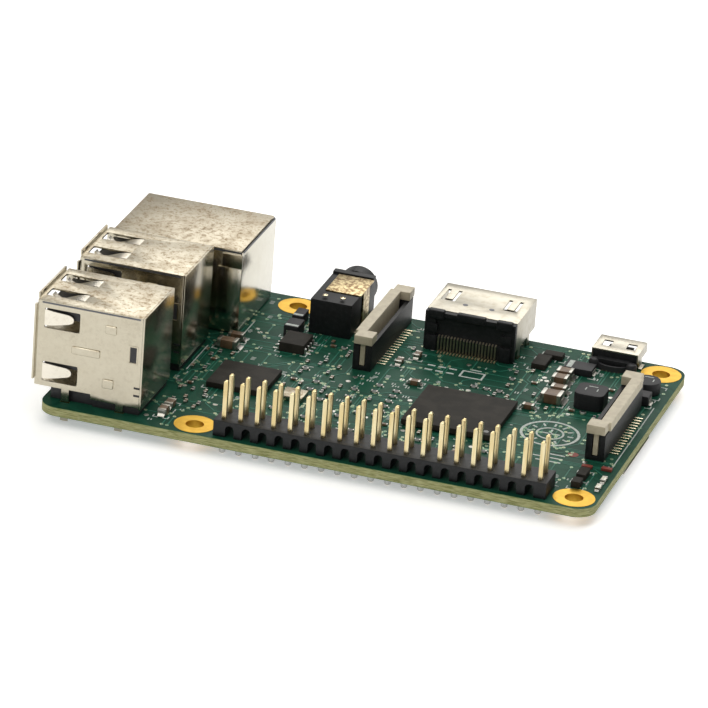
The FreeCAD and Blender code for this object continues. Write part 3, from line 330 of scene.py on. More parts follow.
def lathe(bm, middle, profile, around=16):
    """Turn a closed outline of (radius, height) about an upright axis; a radius of 0 closes it."""
    rings = []
    for radius, rise in profile:
        if radius == 0:
            rings.append([bm.verts.new(middle + Vector((0, 0, rise)))])
            continue
        angles = [2 * math.pi * k / around for k in range(around)]
        rings.append([
            bm.verts.new(middle + Vector((radius * math.cos(a), radius * math.sin(a), rise))) for a in angles
        ])
    closed = profile[0][0] != 0
    pairs = list(zip(rings, rings[1:])) + ([(rings[-1], rings[0])] if closed else [])
    for first, second in pairs:
        for k in range(around):
            j = (k + 1) % around
            corners = [ends[i % len(ends)] for ends, i in ((first, k), (first, j), (second, j), (second, k))]
            bm.faces.new(list(dict.fromkeys(corners)))


def in_mm(outline):
    """An outline of (radius, height) that was written in millimetres."""
    return [(radius * MM, rise * MM) for radius, rise in outline]


def repeat_tree():
    """The node tree that puts one shape at every point, turned and sized as the point says."""
    tree = bpy.data.node_groups.new("repeat_shape", "GeometryNodeTree")
    face = tree.interface
    kinds = {"Geometry": "Geometry", "Shape": "Object", "Finish": "Material", "Tilt": "Float", "Seed": "Int"}
    for name, kind in kinds.items():
        face.new_socket(name, in_out="INPUT", socket_type="NodeSocket" + kind)
    face.new_socket("Geometry", in_out="OUTPUT", socket_type="NodeSocketGeometry")

    def add(kind, links, **settings):
        made = tree.nodes.new(kind)
        for key, item in settings.items():
            setattr(made, key, item)
        for key, source in links.items():
            if isinstance(source, bpy.types.NodeSocket):
                tree.links.new(source, made.inputs[key])
            else:
                made.inputs[key].default_value = source
        return made

    given = add("NodeGroupInput", {}).outputs
    shape = add("GeometryNodeObjectInfo", {"Object": given["Shape"]}).outputs["Geometry"]
    turn, size = (
        add("GeometryNodeInputNamedAttribute", {"Name": name}, data_type="FLOAT_VECTOR").outputs[0]
        for name in ("turn", "size")
    )
    least = add("ShaderNodeMath", {0: given["Tilt"], 1: -1.0}, operation="MULTIPLY").outputs[0]
    sway = add(
        "FunctionNodeRandomValue",
        {"Min": least, "Max": given["Tilt"], "Seed": given["Seed"]},
        data_type="FLOAT_VECTOR",
    ).outputs[0]
    angles = add("ShaderNodeVectorMath", {0: turn, 1: sway}, operation="ADD").outputs[0]
    rotation = add("FunctionNodeEulerToRotation", {"Euler": angles}).outputs[0]
    copies = add(
        "GeometryNodeInstanceOnPoints",
        {"Points": given["Geometry"], "Instance": shape, "Rotation": rotation, "Scale": size},
    ).outputs[0]
    solid = add("GeometryNodeRealizeInstances", {"Geometry": copies}).outputs[0]
    coated = add("GeometryNodeSetMaterial", {"Geometry": solid, "Material": given["Finish"]}).outputs[0]
    add("NodeGroupOutput", {"Geometry": coated})
    return tree


repeater = repeat_tree()


def stamp(name, shape, places, finish, nodes=(), body="board", tilt=0.0, seed=1):
    """Repeat one small shape with Geometry Nodes and keep the outcome as one plain mesh.
    A place is (point, turn in degrees about the upright axis, size)."""
    bmesh.ops.recalc_face_normals(shape, faces=shape.faces)
    pattern_mesh = bpy.data.meshes.new(name + "_shape")
    shape.to_mesh(pattern_mesh)
    shape.free()
    pattern = bpy.data.objects.new(name + "_shape", pattern_mesh)
    spots_mesh = bpy.data.meshes.new(name + "_spots")
    spots_mesh.from_pydata([tuple(place[0]) for place in places], [], [])
    turns = [(0, 0, turn) for _, turn, _ in places]
    sizes = np.array([tuple(size) for _, _, size in places])
    for key, rows in (("turn", np.radians(turns)), ("size", sizes)):
        layer = spots_mesh.attributes.new(key, "FLOAT_VECTOR", "POINT")
        layer.data.foreach_set("vector", rows.astype(np.float32).ravel())
    spots = bpy.data.objects.new(name + "_spots", spots_mesh)
    scene.collection.objects.link(pattern)
    scene.collection.objects.link(spots)
    modifier = spots.modifiers.new("repeat", "NODES")
    modifier.node_group = repeater
    chosen = {"Shape": pattern, "Finish": finish, "Tilt": tilt, "Seed": seed}
    for socket in repeater.interface.items_tree:
        if socket.in_out == "INPUT" and socket.name in chosen:
            modifier[socket.identifier] = chosen[socket.name]
    bpy.context.view_layer.update()
    ready = spots.evaluated_get(bpy.context.evaluated_depsgraph_get())
    mesh = bpy.data.meshes.new_from_object(ready)
    spots.modifiers.remove(modifier)
    bpy.data.objects.remove(spots)
    bpy.data.objects.remove(pattern)
    return piece(name, mesh, finish, nodes, body)


thickness = (board_high.z - board_low.z) / MM
blocked = {}


def block_off(face, low, high, margin=0.0):
    """Keep tracks or small parts out of a rectangle of one face."""
    reach = margin * MM
    blocked.setdefault(face, []).append((low.x - reach, low.y - reach, high.x + reach, high.y + reach))


def is_free(face, point, margin=0.0):
    """Whether a point of one face is clear of all that is kept out, and of the board's rim."""
    reach = margin * MM
    for x0, y0, x1, y1 in blocked.get(face, []):
        if x0 - reach < point.x < x1 + reach and y0 - reach < point.y < y1 + reach:
            return False
    return board_low.x + MM < point.x < board_high.x - MM and board_low.y + MM < point.y < board_high.y - MM


for face in ("top", "under"):
    for along in (3.5, 61.5):
        for across in (3.5, 52.5):
            block_off(face, at(along, across, 0), at(along, across, 0), 3.4)
    block_off(face, *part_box("header_housing"), 0.1)
for node in ("ethernet_shell", "usb_a_shell", "usb_b_shell"):
    block_off("top", *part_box(node))
block_off("under", *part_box("card_socket_shell"), 0.3)

# The tracks' grid in millimetres, and the eight headings that a track can take on it.
PITCH = 0.42
WAYS = ((1, 0), (1, 1), (0, 1), (-1, 1), (-1, 0), (-1, -1), (0, -1), (1, -1))


def wander(face, seed, starts=1500, steps=90):
    """Lines on a fine grid that never cross: each keeps its heading and bends by 45 degrees."""
    pick = random.Random(seed)
    taken = set()
    lines = []
    for _ in range(starts):
        spot = (pick.randrange(4, int(81 / PITCH)), pick.randrange(4, int(53 / PITCH)))
        way = pick.choice((0, 2, 4, 6))
        run = [spot]
        corners = [spot]
        bend = pick.randrange(6, 26)
        while len(run) < steps:
            dx, dy = WAYS[way]
            step = (spot[0] + dx, spot[1] + dy)
            corner = {(step[0], spot[1]), (spot[0], step[1])} if dx and dy else set()
            if step in taken or corner & taken or not is_free(face, at(step[0] * PITCH, step[1] * PITCH, 0)):
                break
            spot = step
            run.append(spot)
            bend -= 1
            if bend == 0:
                corners.append(spot)
                way = (way + pick.choice((-1, 1))) % 8
                bend = pick.randrange(3, 9) if way % 2 else pick.randrange(8, 36)
        corners.append(spot)
        if len(run) > 8 and not taken & set(run):
            taken |= set(run)
            lines.append(corners)
    return lines


tracks = bmesh.new()
ring_spots = []
for face, seed, lift in (("top", 11, 0.004), ("under", 23, -thickness - 0.004)):
    for line in wander(face, seed):
        points = [at(x * PITCH, y * PITCH, lift) for x, y in dict.fromkeys(line)]
        if len(points) > 1:
            bar(tracks, points, 0.17 * MM, 0.05 * MM, UP)
            ring_spots += [(points[0], 0, FULL_SIZE), (points[-1], 0, FULL_SIZE)]

copper = Paint("copper_under_mask")
worn = copper.noise(0.8)
colour = copper.blend(worn.between(0.3, 0.7), (0.018, 0.125, 0.08), (0.03, 0.165, 0.11))
piece("copper_tracks", tracks, copper.finish(colour, 0.38, specular_ior_level=0.12))

ring = bmesh.new()
lathe(ring, Vector(), in_mm([(0.1, -0.02), (0.1, 0.045), (0.26, 0.045), (0.29, -0.02)]), 10)
rings = Paint("plated_through_holes")
tarnish = rings.noise(1.3)
colour = rings.blend(tarnish.between(0.35, 0.65), (0.16, 0.34, 0.2), (0.5, 0.52, 0.34))
stamp("through_holes", ring, ring_spots, rings.finish(colour, 0.4, 0.5))


# Solder: every lead that goes through the board ends in a small shiny cone on the underside,
# wave soldered after the parts were set in.
tinned = Paint("solder_joints")
lumps = tinned.noise(2.5, 2.0)
colour = tinned.blend(lumps, (0.5, 0.5, 0.49), (0.72, 0.71, 0.68))
solder_finish = tinned.finish(colour, 0.2 + lumps * 0.2, 1.0, tinned.bump(lumps, 0.03))


def joined(node):
    """A CAD node's mesh with its corners joined up and its flat faces made whole."""
    bm = bmesh.new()
    bm.from_mesh(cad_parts[node].data)
    bmesh.ops.remove_doubles(bm, verts=bm.verts, dist=0.002 * MM)
    bmesh.ops.dissolve_limit(bm, angle_limit=math.radians(1), verts=bm.verts, edges=bm.edges)
    return bm


def islands(node):
    """The separate solids of a CAD node: each one's corners, as an array."""
    bm = joined(node)
    left = set(bm.verts)
    found = []
    while left:
        stack = [left.pop()]
        solid = []
        while stack:
            vert = stack.pop()
            solid.append(tuple(vert.co))
            near = {edge.other_vert(vert) for edge in vert.link_edges} & left
            left -= near
            stack.extend(near)
        found.append(np.array(sorted(solid)))
    bm.free()
    return sorted(found, key=lambda solid: (tuple(np.round(solid.mean(0), 5)), len(solid)))


def tails(*nodes):
    """Where the leads of some CAD nodes come out under the board, with their half width."""
    found = []
    for node in nodes:
        for solid in islands(node):
            low = solid[solid[:, 2] < board_low.z - 0.1 * MM]
            if len(low):
                middle = (low.min(0) + low.max(0)) / 2
                wide = (low.max(0) - low.min(0))[:2].max() / 2
                if wide < 1.2 * MM:
                    found.append((Vector((middle[0], middle[1], board_low.z)), wide))
    return found


cone = bmesh.new()
outline = [
    (0, 0.02), (2.0, 0.02), (1.95, -0.06), (1.62, -0.28),
    (1.48, -0.7), (1.44, -1.35), (1.2, -1.52), (0, -1.56),
]
lathe(cone, Vector(), outline, 14)
joints = []
for spot, wide in tails(
    "header_pins", "usb_a_contacts", "usb_b_contacts", "ethernet_pins", "jack_spring_contacts", "usb_a_shell",
    "usb_b_shell", "ethernet_shell", "video_shell", "power_shell", "jack_sleeve_plate",
):
    size = max(wide, 0.25 * MM)
    joints.append((spot, 0, (size * 1.1, size * 1.1, MM)))
stamp("solder_joints", cone, joints, solder_finish, tilt=0.04, seed=3)


# The pin header: two rows of square gold-flashed pins pressed through a black moulding whose
# cells are notched between the pins; the pins' ends are cut to blunt points.
def ease(bm, width, steps=2, sharp=30):
    """Round over every edge that is sharper than an angle."""
    edges = [e for e in bm.edges if e.is_manifold and e.calc_face_angle() > math.radians(sharp)]
    bmesh.ops.bevel(
        bm, geom=edges, offset=width * MM, offset_type="OFFSET", segments=steps, profile=0.6,
        affect="EDGES", clamp_overlap=False,
    )
    return bm


def eased(node, width, finish, body="board", steps=2):
    """A CAD node drawn again with its edges rounded over."""
    return piece(node + "_shaped", ease(joined(node), width, steps), finish, [node], body)


resin = Paint("black_moulding")
scuff = resin.noise(1.6, 5.0, 0.65)
fine = resin.noise(14.0, 2.0)
colour = resin.blend(scuff.between(0.4, 0.75), (0.006, 0.007, 0.008), (0.017, 0.018, 0.02))
black = resin.finish(colour, 0.42 + scuff * 0.2, normal=resin.bump(fine, 0.012, 0.6), specular_ior_level=0.38)
eased("header_housing", 0.1, black)

flash = Paint("pin_gold")
drawn = flash.noise(1.4, 2.0, stretch=(1, 1, 0.15))
colour = flash.blend(drawn.between(0.35, 0.7), (0.66, 0.53, 0.27), (0.8, 0.71, 0.45))
pin_gold = flash.finish(colour, 0.24 + drawn * 0.12, 1.0, flash.bump(drawn, 0.003))
eased("header_pins", 0.035, pin_gold)


# Corner holes: a drilled bore for a screw at each corner, plated through. Thin gold over copper
# covers the bore and the ring round it on both faces.
plate = Paint("gold_plating")
ripple = plate.noise(0.9, 3.0)
colour = plate.blend(ripple.between(0.3, 0.75), (0.56, 0.33, 0.035), (0.68, 0.43, 0.06))
dress("plated_mounting_holes", plate.finish(colour, 0.36 + ripple * 0.15, 1.0, plate.bump(ripple, 0.03)))


# Stacked ports: each can is one sheet of tinned steel folded into a box, with leaf springs cut
# from its walls at the mouths, a flared lip, brown flux stains and two black tongues inside.
ALONG = Vector((1, 0, 0))
ACROSS = Vector((0, 1, 0))


def carve(bm, cutter):
    """Cut one closed mesh out of another."""
    pair = []
    for form in (bm, cutter):
        bmesh.ops.recalc_face_normals(form, faces=form.faces)
        mesh = bpy.data.meshes.new("carving")
        form.to_mesh(mesh)
        form.free()
        pair.append(bpy.data.objects.new("carving", mesh))
        scene.collection.objects.link(pair[-1])
    modifier = pair[0].modifiers.new("cut", "BOOLEAN")
    modifier.object = pair[1]
    modifier.operation = "DIFFERENCE"
    bpy.context.view_layer.update()
    mesh = bpy.data.meshes.new_from_object(pair[0].evaluated_get(bpy.context.evaluated_depsgraph_get()))
    for made in pair:
        bpy.data.objects.remove(made)
    carved = bmesh.new()
    carved.from_mesh(mesh)
    bmesh.ops.dissolve_limit(carved, angle_limit=math.radians(1), verts=carved.verts, edges=carved.edges)
    return carved


def slab(bm, low, high, radius=0.0, steps=2):
    """A box between two corners, with its edges rounded over if it has a radius."""
    middle, size = (low + high) / 2, high - low
    placing = Matrix.Translation(middle) @ Matrix.Diagonal((*size, 1))
    made = bmesh.ops.create_cube(bm, size=1, matrix=placing)["verts"]
    if radius:
        edges = list(dict.fromkeys(edge for vert in made for edge in vert.link_edges))
        bmesh.ops.bevel(bm, geom=edges, offset=radius, segments=steps, profile=0.6, affect="EDGES")


def on_wall(bm, alongs, heights, depths, radius=0.0, steps=2):
    """A block on a wall that faces across the board: its ends and heights as in the drawing, and
    its two depths in place."""
    first, second = (at(x, 0, z) for x, z in zip(alongs, heights))
    slab(bm, Vector((first.x, depths[0], first.z)), Vector((second.x, depths[1], second.z)), radius, steps)


def stained_tin(name, tint, stain, top_share, rough=0.24):
    """Tinned sheet with baked flux in blotches, mostly on upward faces."""
    tin = Paint(name)
    cloud = tin.noise(0.34, 4.0, 0.7)
    specks = tin.noise(1.5, 5.0, 0.8)
    flecks = tin.noise(4.5, 2.0)
    facing_up = tin.facing("Z").between(0.5, 0.9)
    amount = cloud.between(0.36, 0.68) * 0.55 + specks.between(0.5, 0.6) * 0.85
    amount = amount * (facing_up * top_share + 0.12) + flecks.between(0.66, 0.74) * facing_up * 0.3
    colour = tin.blend(amount, tint, stain)
    wave = tin.noise(0.12, 1.0)
    relief = tin.bump(wave * 2.5 + specks * 0.12, 0.06, 0.7)
    matt = facing_up * top_share * 0.28
    return tin.finish(colour, specks * 0.12 + amount * 0.2 + matt + rough, 1.0, relief)


def mottled(name, noise, first, second, rough, metal=0.0, relief=None, **extra):
    """Two close colours in soft patches, with a slight relief in the same pattern."""
    paint = Paint(name)
    patches = paint.noise(*noise)
    normal = None if relief is None else paint.bump(patches, relief)
    return paint.finish(paint.blend(patches, first, second), rough, metal, normal, **extra)


usb_tin = stained_tin("stained_tin", (0.53, 0.49, 0.39), (0.27, 0.2, 0.115), 0.6, 0.13)
port_black = mottled("port_moulding", (2.0,), (0.014, 0.014, 0.016), (0.04, 0.04, 0.044), 0.5, relief=0.02)
contact = mottled("contact_strip", (1.2, 2.0), (0.7, 0.58, 0.34), (0.8, 0.74, 0.58), 0.25, 1.0, 0.01)
# A darker, duller copy of the contact strip, used for the video port's contacts and rear feet.
dull = (0.3, 0.26, 0.17), (0.42, 0.39, 0.3)
dark_contact = mottled("darker_contact_strip", (1.2, 2.0), *dull, 0.35, 1.0, 0.01)
# A lighter copy of the tinned sheet for the leaf springs: painted highlight on their bent parts.
highlight_leaf = stained_tin("leaf_tin_painted_highlight", (0.78, 0.74, 0.64), (0.4, 0.3, 0.18), 0.2, 0.16)
# Dark blue-grey metal: painted shade, for the shadow under the roofs' folded edges and inside small holes.
painted_shade_finish = mottled("folded_seam", (1.2,), (0.08, 0.085, 0.095), (0.18, 0.185, 0.2), 0.45, 0.7)
# Leaf springs as (distance from the mouth, depth inward, width) in millimetres, root to tip.
SIDE_LEAF = (
    (-0.3, 0.14, 2.5), (-1.4, 0.16, 2.3), (-2.4, 0.3, 2.0), (-3.3, 0.52, 1.7),
    (-4.0, 0.66, 1.45), (-4.45, 0.7, 1.1), (-4.7, 0.7, 0.7), (-4.8, 0.68, 0.25),
)
ROOF_LEAF = (
    (-6.0, 0.15, 2.4), (-5.0, 0.17, 2.2), (-4.0, 0.34, 1.85), (-3.0, 0.7, 1.5),
    (-2.2, 0.95, 1.2), (-1.5, 0.95, 1.05), (-0.9, 0.6, 1.0), (-0.45, 0.12, 1.0),
)
for tag in ("usb_a", "usb_b"):
    low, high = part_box(tag + "_shell")
    roof = at(0, 0, 15.6).z
    centre = (low.y + high.y) / 2
    mouth = high.x - 1.0 * MM
    walls = np.vstack(islands(tag + "_shell"))
    half = np.abs(walls[walls[:, 0] < high.x - 3 * MM, 1] - centre).max()
    eased(tag + "_back_cover", 0.07, usb_tin)
    eased(tag + "_middle_shield", 0.05, usb_tin)
    eased(tag + "_insulator", 0.06, port_black)
    eased(tag + "_contacts", 0.03, contact)
    windows = bmesh.new()
    for side in (-1, 1):
        face = centre + side * half
        for heights in ((2.85, 5.95), (11.35, 14.45)):
            on_wall(windows, (79.75, 85.25), heights, (face - 0.9 * MM, face + 0.9 * MM), 0.4 * MM, 3)
    for row in (-3, 3):
        y = centre + row * MM
        first = Vector((at(79.95, 0, 0).x, y - 1.35 * MM, roof - 0.8 * MM))
        second = Vector((at(85.95, 0, 0).x, y + 1.35 * MM, roof + 0.8 * MM))
        slab(windows, first, second, 0.3 * MM, 3)
    can = carve(joined(tag + "_shell"), windows)
    piece(tag + "_shell_shaped", ease(can, 0.07), usb_tin, [tag + "_shell"])
    springs = bmesh.new()
    for side in (-1, 1):
        face = centre + side * half
        for rise in (4.4, 12.9):
            z = at(0, 0, rise).z
            line = [Vector((mouth + x * MM, face - side * inward * MM, z)) for x, inward, _ in SIDE_LEAF]
            bar(springs, line, 0.24 * MM, [width * MM for _, _, width in SIDE_LEAF], UP)
    for row in (-3, 3):
        y = centre + row * MM
        for level, way in ((roof, -1), (at(0, 0, 2.0).z, 1)):
            line = [Vector((mouth + x * MM, y, level + way * inward * MM)) for x, inward, _ in ROOF_LEAF]
            bar(springs, line, 0.24 * MM, [width * MM for _, _, width in ROOF_LEAF], ACROSS)
    piece(tag + "_leaf_springs", ease(springs, 0.05), highlight_leaf)
    pressed = bmesh.new()
    for side in (-1, 1):
        face = centre + side * (half + 0.02 * MM)
        for x0, x1, z0, z1 in ((76.4, 80.8, 8.0, 9.2), (74.0, 75.7, 12.2, 13.5), (74.1, 75.8, 3.5, 4.9)):
            on_wall(pressed, (x0, x1), (z0, z1), (face - 0.3 * MM, face + 0.22 * MM), 0.2 * MM, 3)
        first, second = at(70.6, 0, 8.2), at(71.9, 0, 10.9)
        corners = ((first.x, first.z), (first.x, second.z), (second.x, second.z), (second.x, first.z))
        bar(pressed, [Vector((x, face, z)) for x, z in corners], 0.16 * MM, 0.14 * MM, ACROSS, closed=True)
    piece(tag + "_pressed_marks", pressed, usb_tin)
    # A dark strip along each fold below the roof: the fold is real, its darkness is painted shade.
    fold_shade = bmesh.new()
    slots = bmesh.new()
    fold_z = roof - 0.3 * MM
    for side in (-1, 1):
        face = centre + side * (half + 0.01 * MM)
        line = [Vector((low.x + 0.4 * MM, face, fold_z)), Vector((mouth, face, fold_z))]
        bar(fold_shade, line, 0.26 * MM, 0.05 * MM, ACROSS)
        # The slots are flat black patches on the wall: painted shade for the dark inside of the slot
        # openings.
        depths = (face - 0.02 * MM, face + 0.02 * MM)
        on_wall(slots, (70.75, 71.75), (8.35, 10.75), depths)
        for level in (3.0, 4.2):
            on_wall(slots, (70.0, 70.9), (level, level + 0.3), depths)
    line = [Vector((low.x, centre - half, fold_z)), Vector((low.x, centre + half, fold_z))]
    bar(fold_shade, line, 0.26 * MM, 0.05 * MM, ALONG)
    piece(tag + "_folded_seam", fold_shade, painted_shade_finish)
    piece(tag + "_tab_slots", slots, port_black)


# The network port: a wider, lower can of the same sheet with a separate back cover that hooks
# over its sides, a black body with light pipes, and a magnetics chamber behind the jack.
net_tin = stained_tin("network_tin", (0.46, 0.42, 0.33), (0.27, 0.205, 0.125), 0.66, 0.12)
eased("ethernet_shell", 0.09, net_tin)
# A lighter copy of the tin for the back cover: painted reflection of the glare on the port's rear face.
glare_tin = stained_tin("back_cover_painted_glare", (0.6, 0.58, 0.5), (0.4, 0.33, 0.22), 0.3, 0.1)
eased("ethernet_back_cover", 0.09, glare_tin)
low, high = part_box("ethernet_shell")
# Dark strips along the folds below the roof and across the back: painted shade under the folded edges.
fold_shade = bmesh.new()
hooks = bmesh.new()
back = min(low.x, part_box("ethernet_back_cover")[0].x) - 0.01 * MM
fold_z = high.z - 0.35 * MM
line = [Vector((back, low.y + 0.2 * MM, fold_z)), Vector((back, high.y - 0.2 * MM, fold_z))]
bar(fold_shade, line, 0.3 * MM, 0.05 * MM, ALONG)
for face in (low.y, high.y):
    line = [Vector((back + 0.2 * MM, face, fold_z)), Vector((high.x - 1.2 * MM, face, fold_z))]
    bar(fold_shade, line, 0.3 * MM, 0.05 * MM, ACROSS)
    first = Vector((back, face - 0.14 * MM, high.z - 3.0 * MM))
    second = Vector((back + 3.2 * MM, face + 0.14 * MM, high.z - 0.7 * MM))
    slab(hooks, first, second, 0.12 * MM, 3)
piece("ethernet_folded_seam", fold_shade, painted_shade_finish)
piece("ethernet_cover_hooks", hooks, net_tin)
eased("ethernet_housing", 0.06, port_black)
eased("ethernet_contacts", 0.03, contact)
eased("ethernet_pins", 0.04, contact)
lens_finish = mottled("light_pipe", (1.5,), (0.75, 0.8, 0.6), (0.85, 0.85, 0.72), 0.2, coat_weight=0.5)
dress("ethernet_light_pipes", lens_finish)
dress("ethernet_magnetics", mottled("magnetics_board", (1.2,), (0.06, 0.12, 0.05), (0.14, 0.2, 0.08), 0.6))


# The video port: bright nickelled can over a black moulding whose rear wall is recessed, with a
# row of fine feet soldered behind it and spring tongues bent down in the roof's windows.
nickel = Paint("bright_nickel")
haze = nickel.noise(0.8, 4.0, 0.7)
cloud = nickel.noise(0.2, 2.0)
colour = nickel.blend(haze.between(0.45, 0.75) * 0.5, (0.46, 0.435, 0.365), (0.3, 0.25, 0.17))
bright = nickel.finish(colour, 0.28 + haze * 0.14, 1.0, nickel.bump(cloud * 2.0 + haze * 0.1, 0.05, 0.6))
eased("video_shell", 0.07, bright)
eased("video_insulator", 0.06, black)
eased("video_contacts", 0.03, dark_contact)
low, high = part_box("video_insulator")
rear = high.y
drops = bmesh.new()
for k in range(19):
    line = []
    for out, rise in ((-0.3, 2.5), (0.14, 2.3), (0.16, 0.1)):
        spot = at(28.0 + 0.5 * k, 0, rise)
        line.append(Vector((spot.x, rear + out * MM, spot.z)))
    bar(drops, line, 0.12 * MM, 0.24 * MM, ALONG)
piece("video_pin_drops", drops, dark_contact)
# Dark discs on the roof stand in for its two holes: painted shade for their dark inside.
hole_shade = bmesh.new()
for along in (30.2, 34.4):
    spot = at(along, 5.6, 0)
    spot.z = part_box("video_shell")[1].z
    lathe(hole_shade, spot, in_mm([(0, -0.1), (0.42, -0.1), (0.42, 0.02), (0, 0.025)]), 16)
piece("video_roof_holes", hole_shade, painted_shade_finish)
lugs = bmesh.new()
for x0, x1, drop, out in ((25.6, 28.1, 1.0, 0.35), (29.9, 34.4, 0.8, 0.25), (36.4, 38.9, 1.0, 0.35)):
    first = Vector((at(x0, 0, 0).x, rear - 0.7 * MM, high.z - drop * MM))
    second = Vector((at(x1, 0, 0).x, rear + out * MM, high.z + 0.42 * MM))
    slab(lugs, first, second, 0.25 * MM, 3)
for alongs in ((25.6, 27.3), (37.3, 39.0)):
    on_wall(lugs, alongs, (0.0, 2.4), (rear - 0.5 * MM, rear + 0.35 * MM), 0.15 * MM)
    on_wall(lugs, alongs, (2.9, 4.3), (rear - 0.5 * MM, rear + 0.25 * MM), 0.15 * MM)
piece("video_rear_lugs", lugs, black)


# The power port: a small rolled nickel can with two round spring windows and a curved lip over
# a black insert, held by wings soldered to the board.
eased("power_shell", 0.05, bright)
eased("power_insulator", 0.04, black)
eased("power_contacts", 0.02, contact)
low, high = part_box("power_insulator")
middle = (low.x + high.x) / 2
# Two black round lumps at the rear are solder joints in shadow drawn black, painted shade; the arc is the
# black insert.
shaded_solder_and_arc = bmesh.new()
outline = in_mm([(0, -0.02), (0.85, -0.02), (0.85, 1.0), (0.7, 1.35), (0.35, 1.5), (0, 1.5)])
for side in (-1, 1):
    spot = Vector((middle + side * 2.9 * MM, high.y - 0.3 * MM, board_high.z))
    lathe(shaded_solder_and_arc, spot, outline, 18)
arc = []
for k in range(15):
    angle = math.pi * k / 14
    x, y = middle + 2.3 * MM * math.cos(angle), high.y - 0.5 * MM + 1.3 * MM * math.sin(angle)
    arc.append(Vector((x, y, board_high.z + 0.45 * MM)))
bar(shaded_solder_and_arc, arc, 0.35 * MM, 0.9 * MM, UP)
piece("power_pegs", shaded_solder_and_arc, port_black)


# The audio jack: a black moulded block with a round nose; bronze strips are pressed into its
# sides and a plate lies over its front half.
eased("jack_housing", 0.1, black)
bronze = Paint("bronze_strip")
bloom = bronze.noise(1.5, 4.0, 0.7)
colour = bronze.blend(bloom.between(0.42, 0.58), (0.6, 0.5, 0.28), (0.2, 0.12, 0.05))
strip_finish = bronze.finish(colour, 0.25 + bloom * 0.2, 1.0, bronze.bump(bloom, 0.05))
eased("jack_sleeve_plate", 0.06, strip_finish)
eased("jack_spring_contacts", 0.04, contact)
low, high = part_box("jack_housing")
rivets = bmesh.new()
outline = in_mm([(0, -0.1), (0.42, -0.1), (0.42, 0.03), (0.3, 0.06), (0.22, -0.02), (0, -0.03)])
for along in (1.9, 4.7):
    spot = Vector((low.x + along * MM, high.y - 1.3 * MM, high.z))
    lathe(rivets, spot, outline, 18)
piece("jack_rivets", rivets, contact)


# Flat-cable connectors: a black body with a slot for the cable and a cream bar that lifts to
# free it; bright feet run along one side.
beige = Paint("cream_moulding")
tone = beige.noise(0.7, 3.0)
fleck = beige.noise(9.0, 2.0)
colour = beige.blend(tone.between(0.3, 0.7), (0.5, 0.44, 0.32), (0.6, 0.54, 0.4))
cream = beige.finish(colour, 0.48, normal=beige.bump(fleck, 0.01))
for tag in ("camera", "display"):
    eased(tag + "_connector_housing", 0.06, black)
    eased(tag + "_connector_contacts", 0.03, contact)
    eased(tag + "_actuator", 0.12, cream, tag + "_actuator", 3)


# The card socket on the underside: a stamped bright cover over a black base, gold fingers, and a
# push-push slide with its coil spring.
eased("card_socket_shell", 0.04, bright)
eased("card_socket_base", 0.05, port_black)
eased("card_socket_contacts", 0.03, contact)
eased("card_ejector", 0.06, port_black, "card_ejector")
wire_finish = mottled("spring_wire", (2.0,), (0.4, 0.4, 0.4), (0.6, 0.6, 0.58), 0.3, 1.0)
winding = joined("card_ejector_spring")
coil = piece("card_ejector_coil", winding, wire_finish, ["card_ejector_spring"])
low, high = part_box("card_ejector_spring")
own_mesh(coil)


# Chips: black moulding compound ground matt on top, the big ones on balls of solder and the
# small ones on bent tinned leads.
epoxy = Paint("chip_epoxy")
powder = epoxy.noise(7.0, 3.0)
smear = epoxy.noise(0.35, 3.0)
colour = epoxy.blend(smear.between(0.35, 0.7), (0.024, 0.022, 0.018), (0.044, 0.04, 0.034))
chip = epoxy.finish(colour, 0.5 + smear * 0.2, normal=epoxy.bump(powder, 0.015), specular_ior_level=0.1)
for node in ("processor", "memory_chip", "hub_chip", "small_chips"):
    eased(node, 0.07, chip)
eased("chip_leads", 0.03, solder_finish)
dots = bmesh.new()
for node, inset in (("processor", 1.2), ("hub_chip", 0.9), ("memory_chip", 1.0)):
    low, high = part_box(node)
    face, way = (high.z, 1) if low.z > board_low.z else (low.z, -1)
    spot = Vector((low.x + inset * MM, high.y - inset * MM, face))
    outline = in_mm([(0, 0.012 * way), (0.4, 0.012 * way), (0.45, -0.03 * way), (0, -0.03 * way)])
    lathe(dots, spot, outline, 20)
dot_finish = mottled("moulded_dot", (3.0,), (0.015, 0.014, 0.013), (0.025, 0.024, 0.022), 0.25)
piece("chip_corner_dots", dots, dot_finish)
for node in ("processor_solder_balls", "memory_solder_balls"):
    dress(node, solder_finish)


# Passive parts: fired ceramic blocks and film resistors with soft rounded tinned ends, all
# reflow soldered, so that a fillet of solder climbs each end.
def unit_block(x0, x1, half_y, z0, z1, radius):
    """A block in a part's own unit box, long side along X and centred on the origin."""
    bm = bmesh.new()
    slab(bm, Vector((x0, -half_y, z0)), Vector((x1, half_y, z1)), radius)
    return bm


def end_caps():
    """Both tinned ends and their fillets, in the part's unit box."""
    bm = bmesh.new()
    for side in (-1, 1):
        inner, outer = sorted((side * 0.29, side * 0.5))
        slab(bm, Vector((inner, -0.5, -0.5)), Vector((outer, 0.5, 0.5)), 0.07)
        foot = [Vector((side * out, 0, rise)) for out, rise in ((0.46, -0.1), (0.53, -0.3), (0.66, -0.46))]
        bar(bm, foot, 0.12, 0.8, ACROSS)
    return bm


def footprint(node):
    """Place, turn and size of each solid of a node, with its long side along its own X."""
    found = []
    for solid in islands(node):
        low, high = Vector(solid.min(0)), Vector(solid.max(0))
        size = high - low
        upright = size.y > size.x
        turned = Vector((size.y, size.x, size.z)) if upright else size
        found.append(((low + high) / 2, 90 if upright else 0, turned))
        block_off("top" if low.z > board_low.z else "under", low, high, 0.35)
    return found


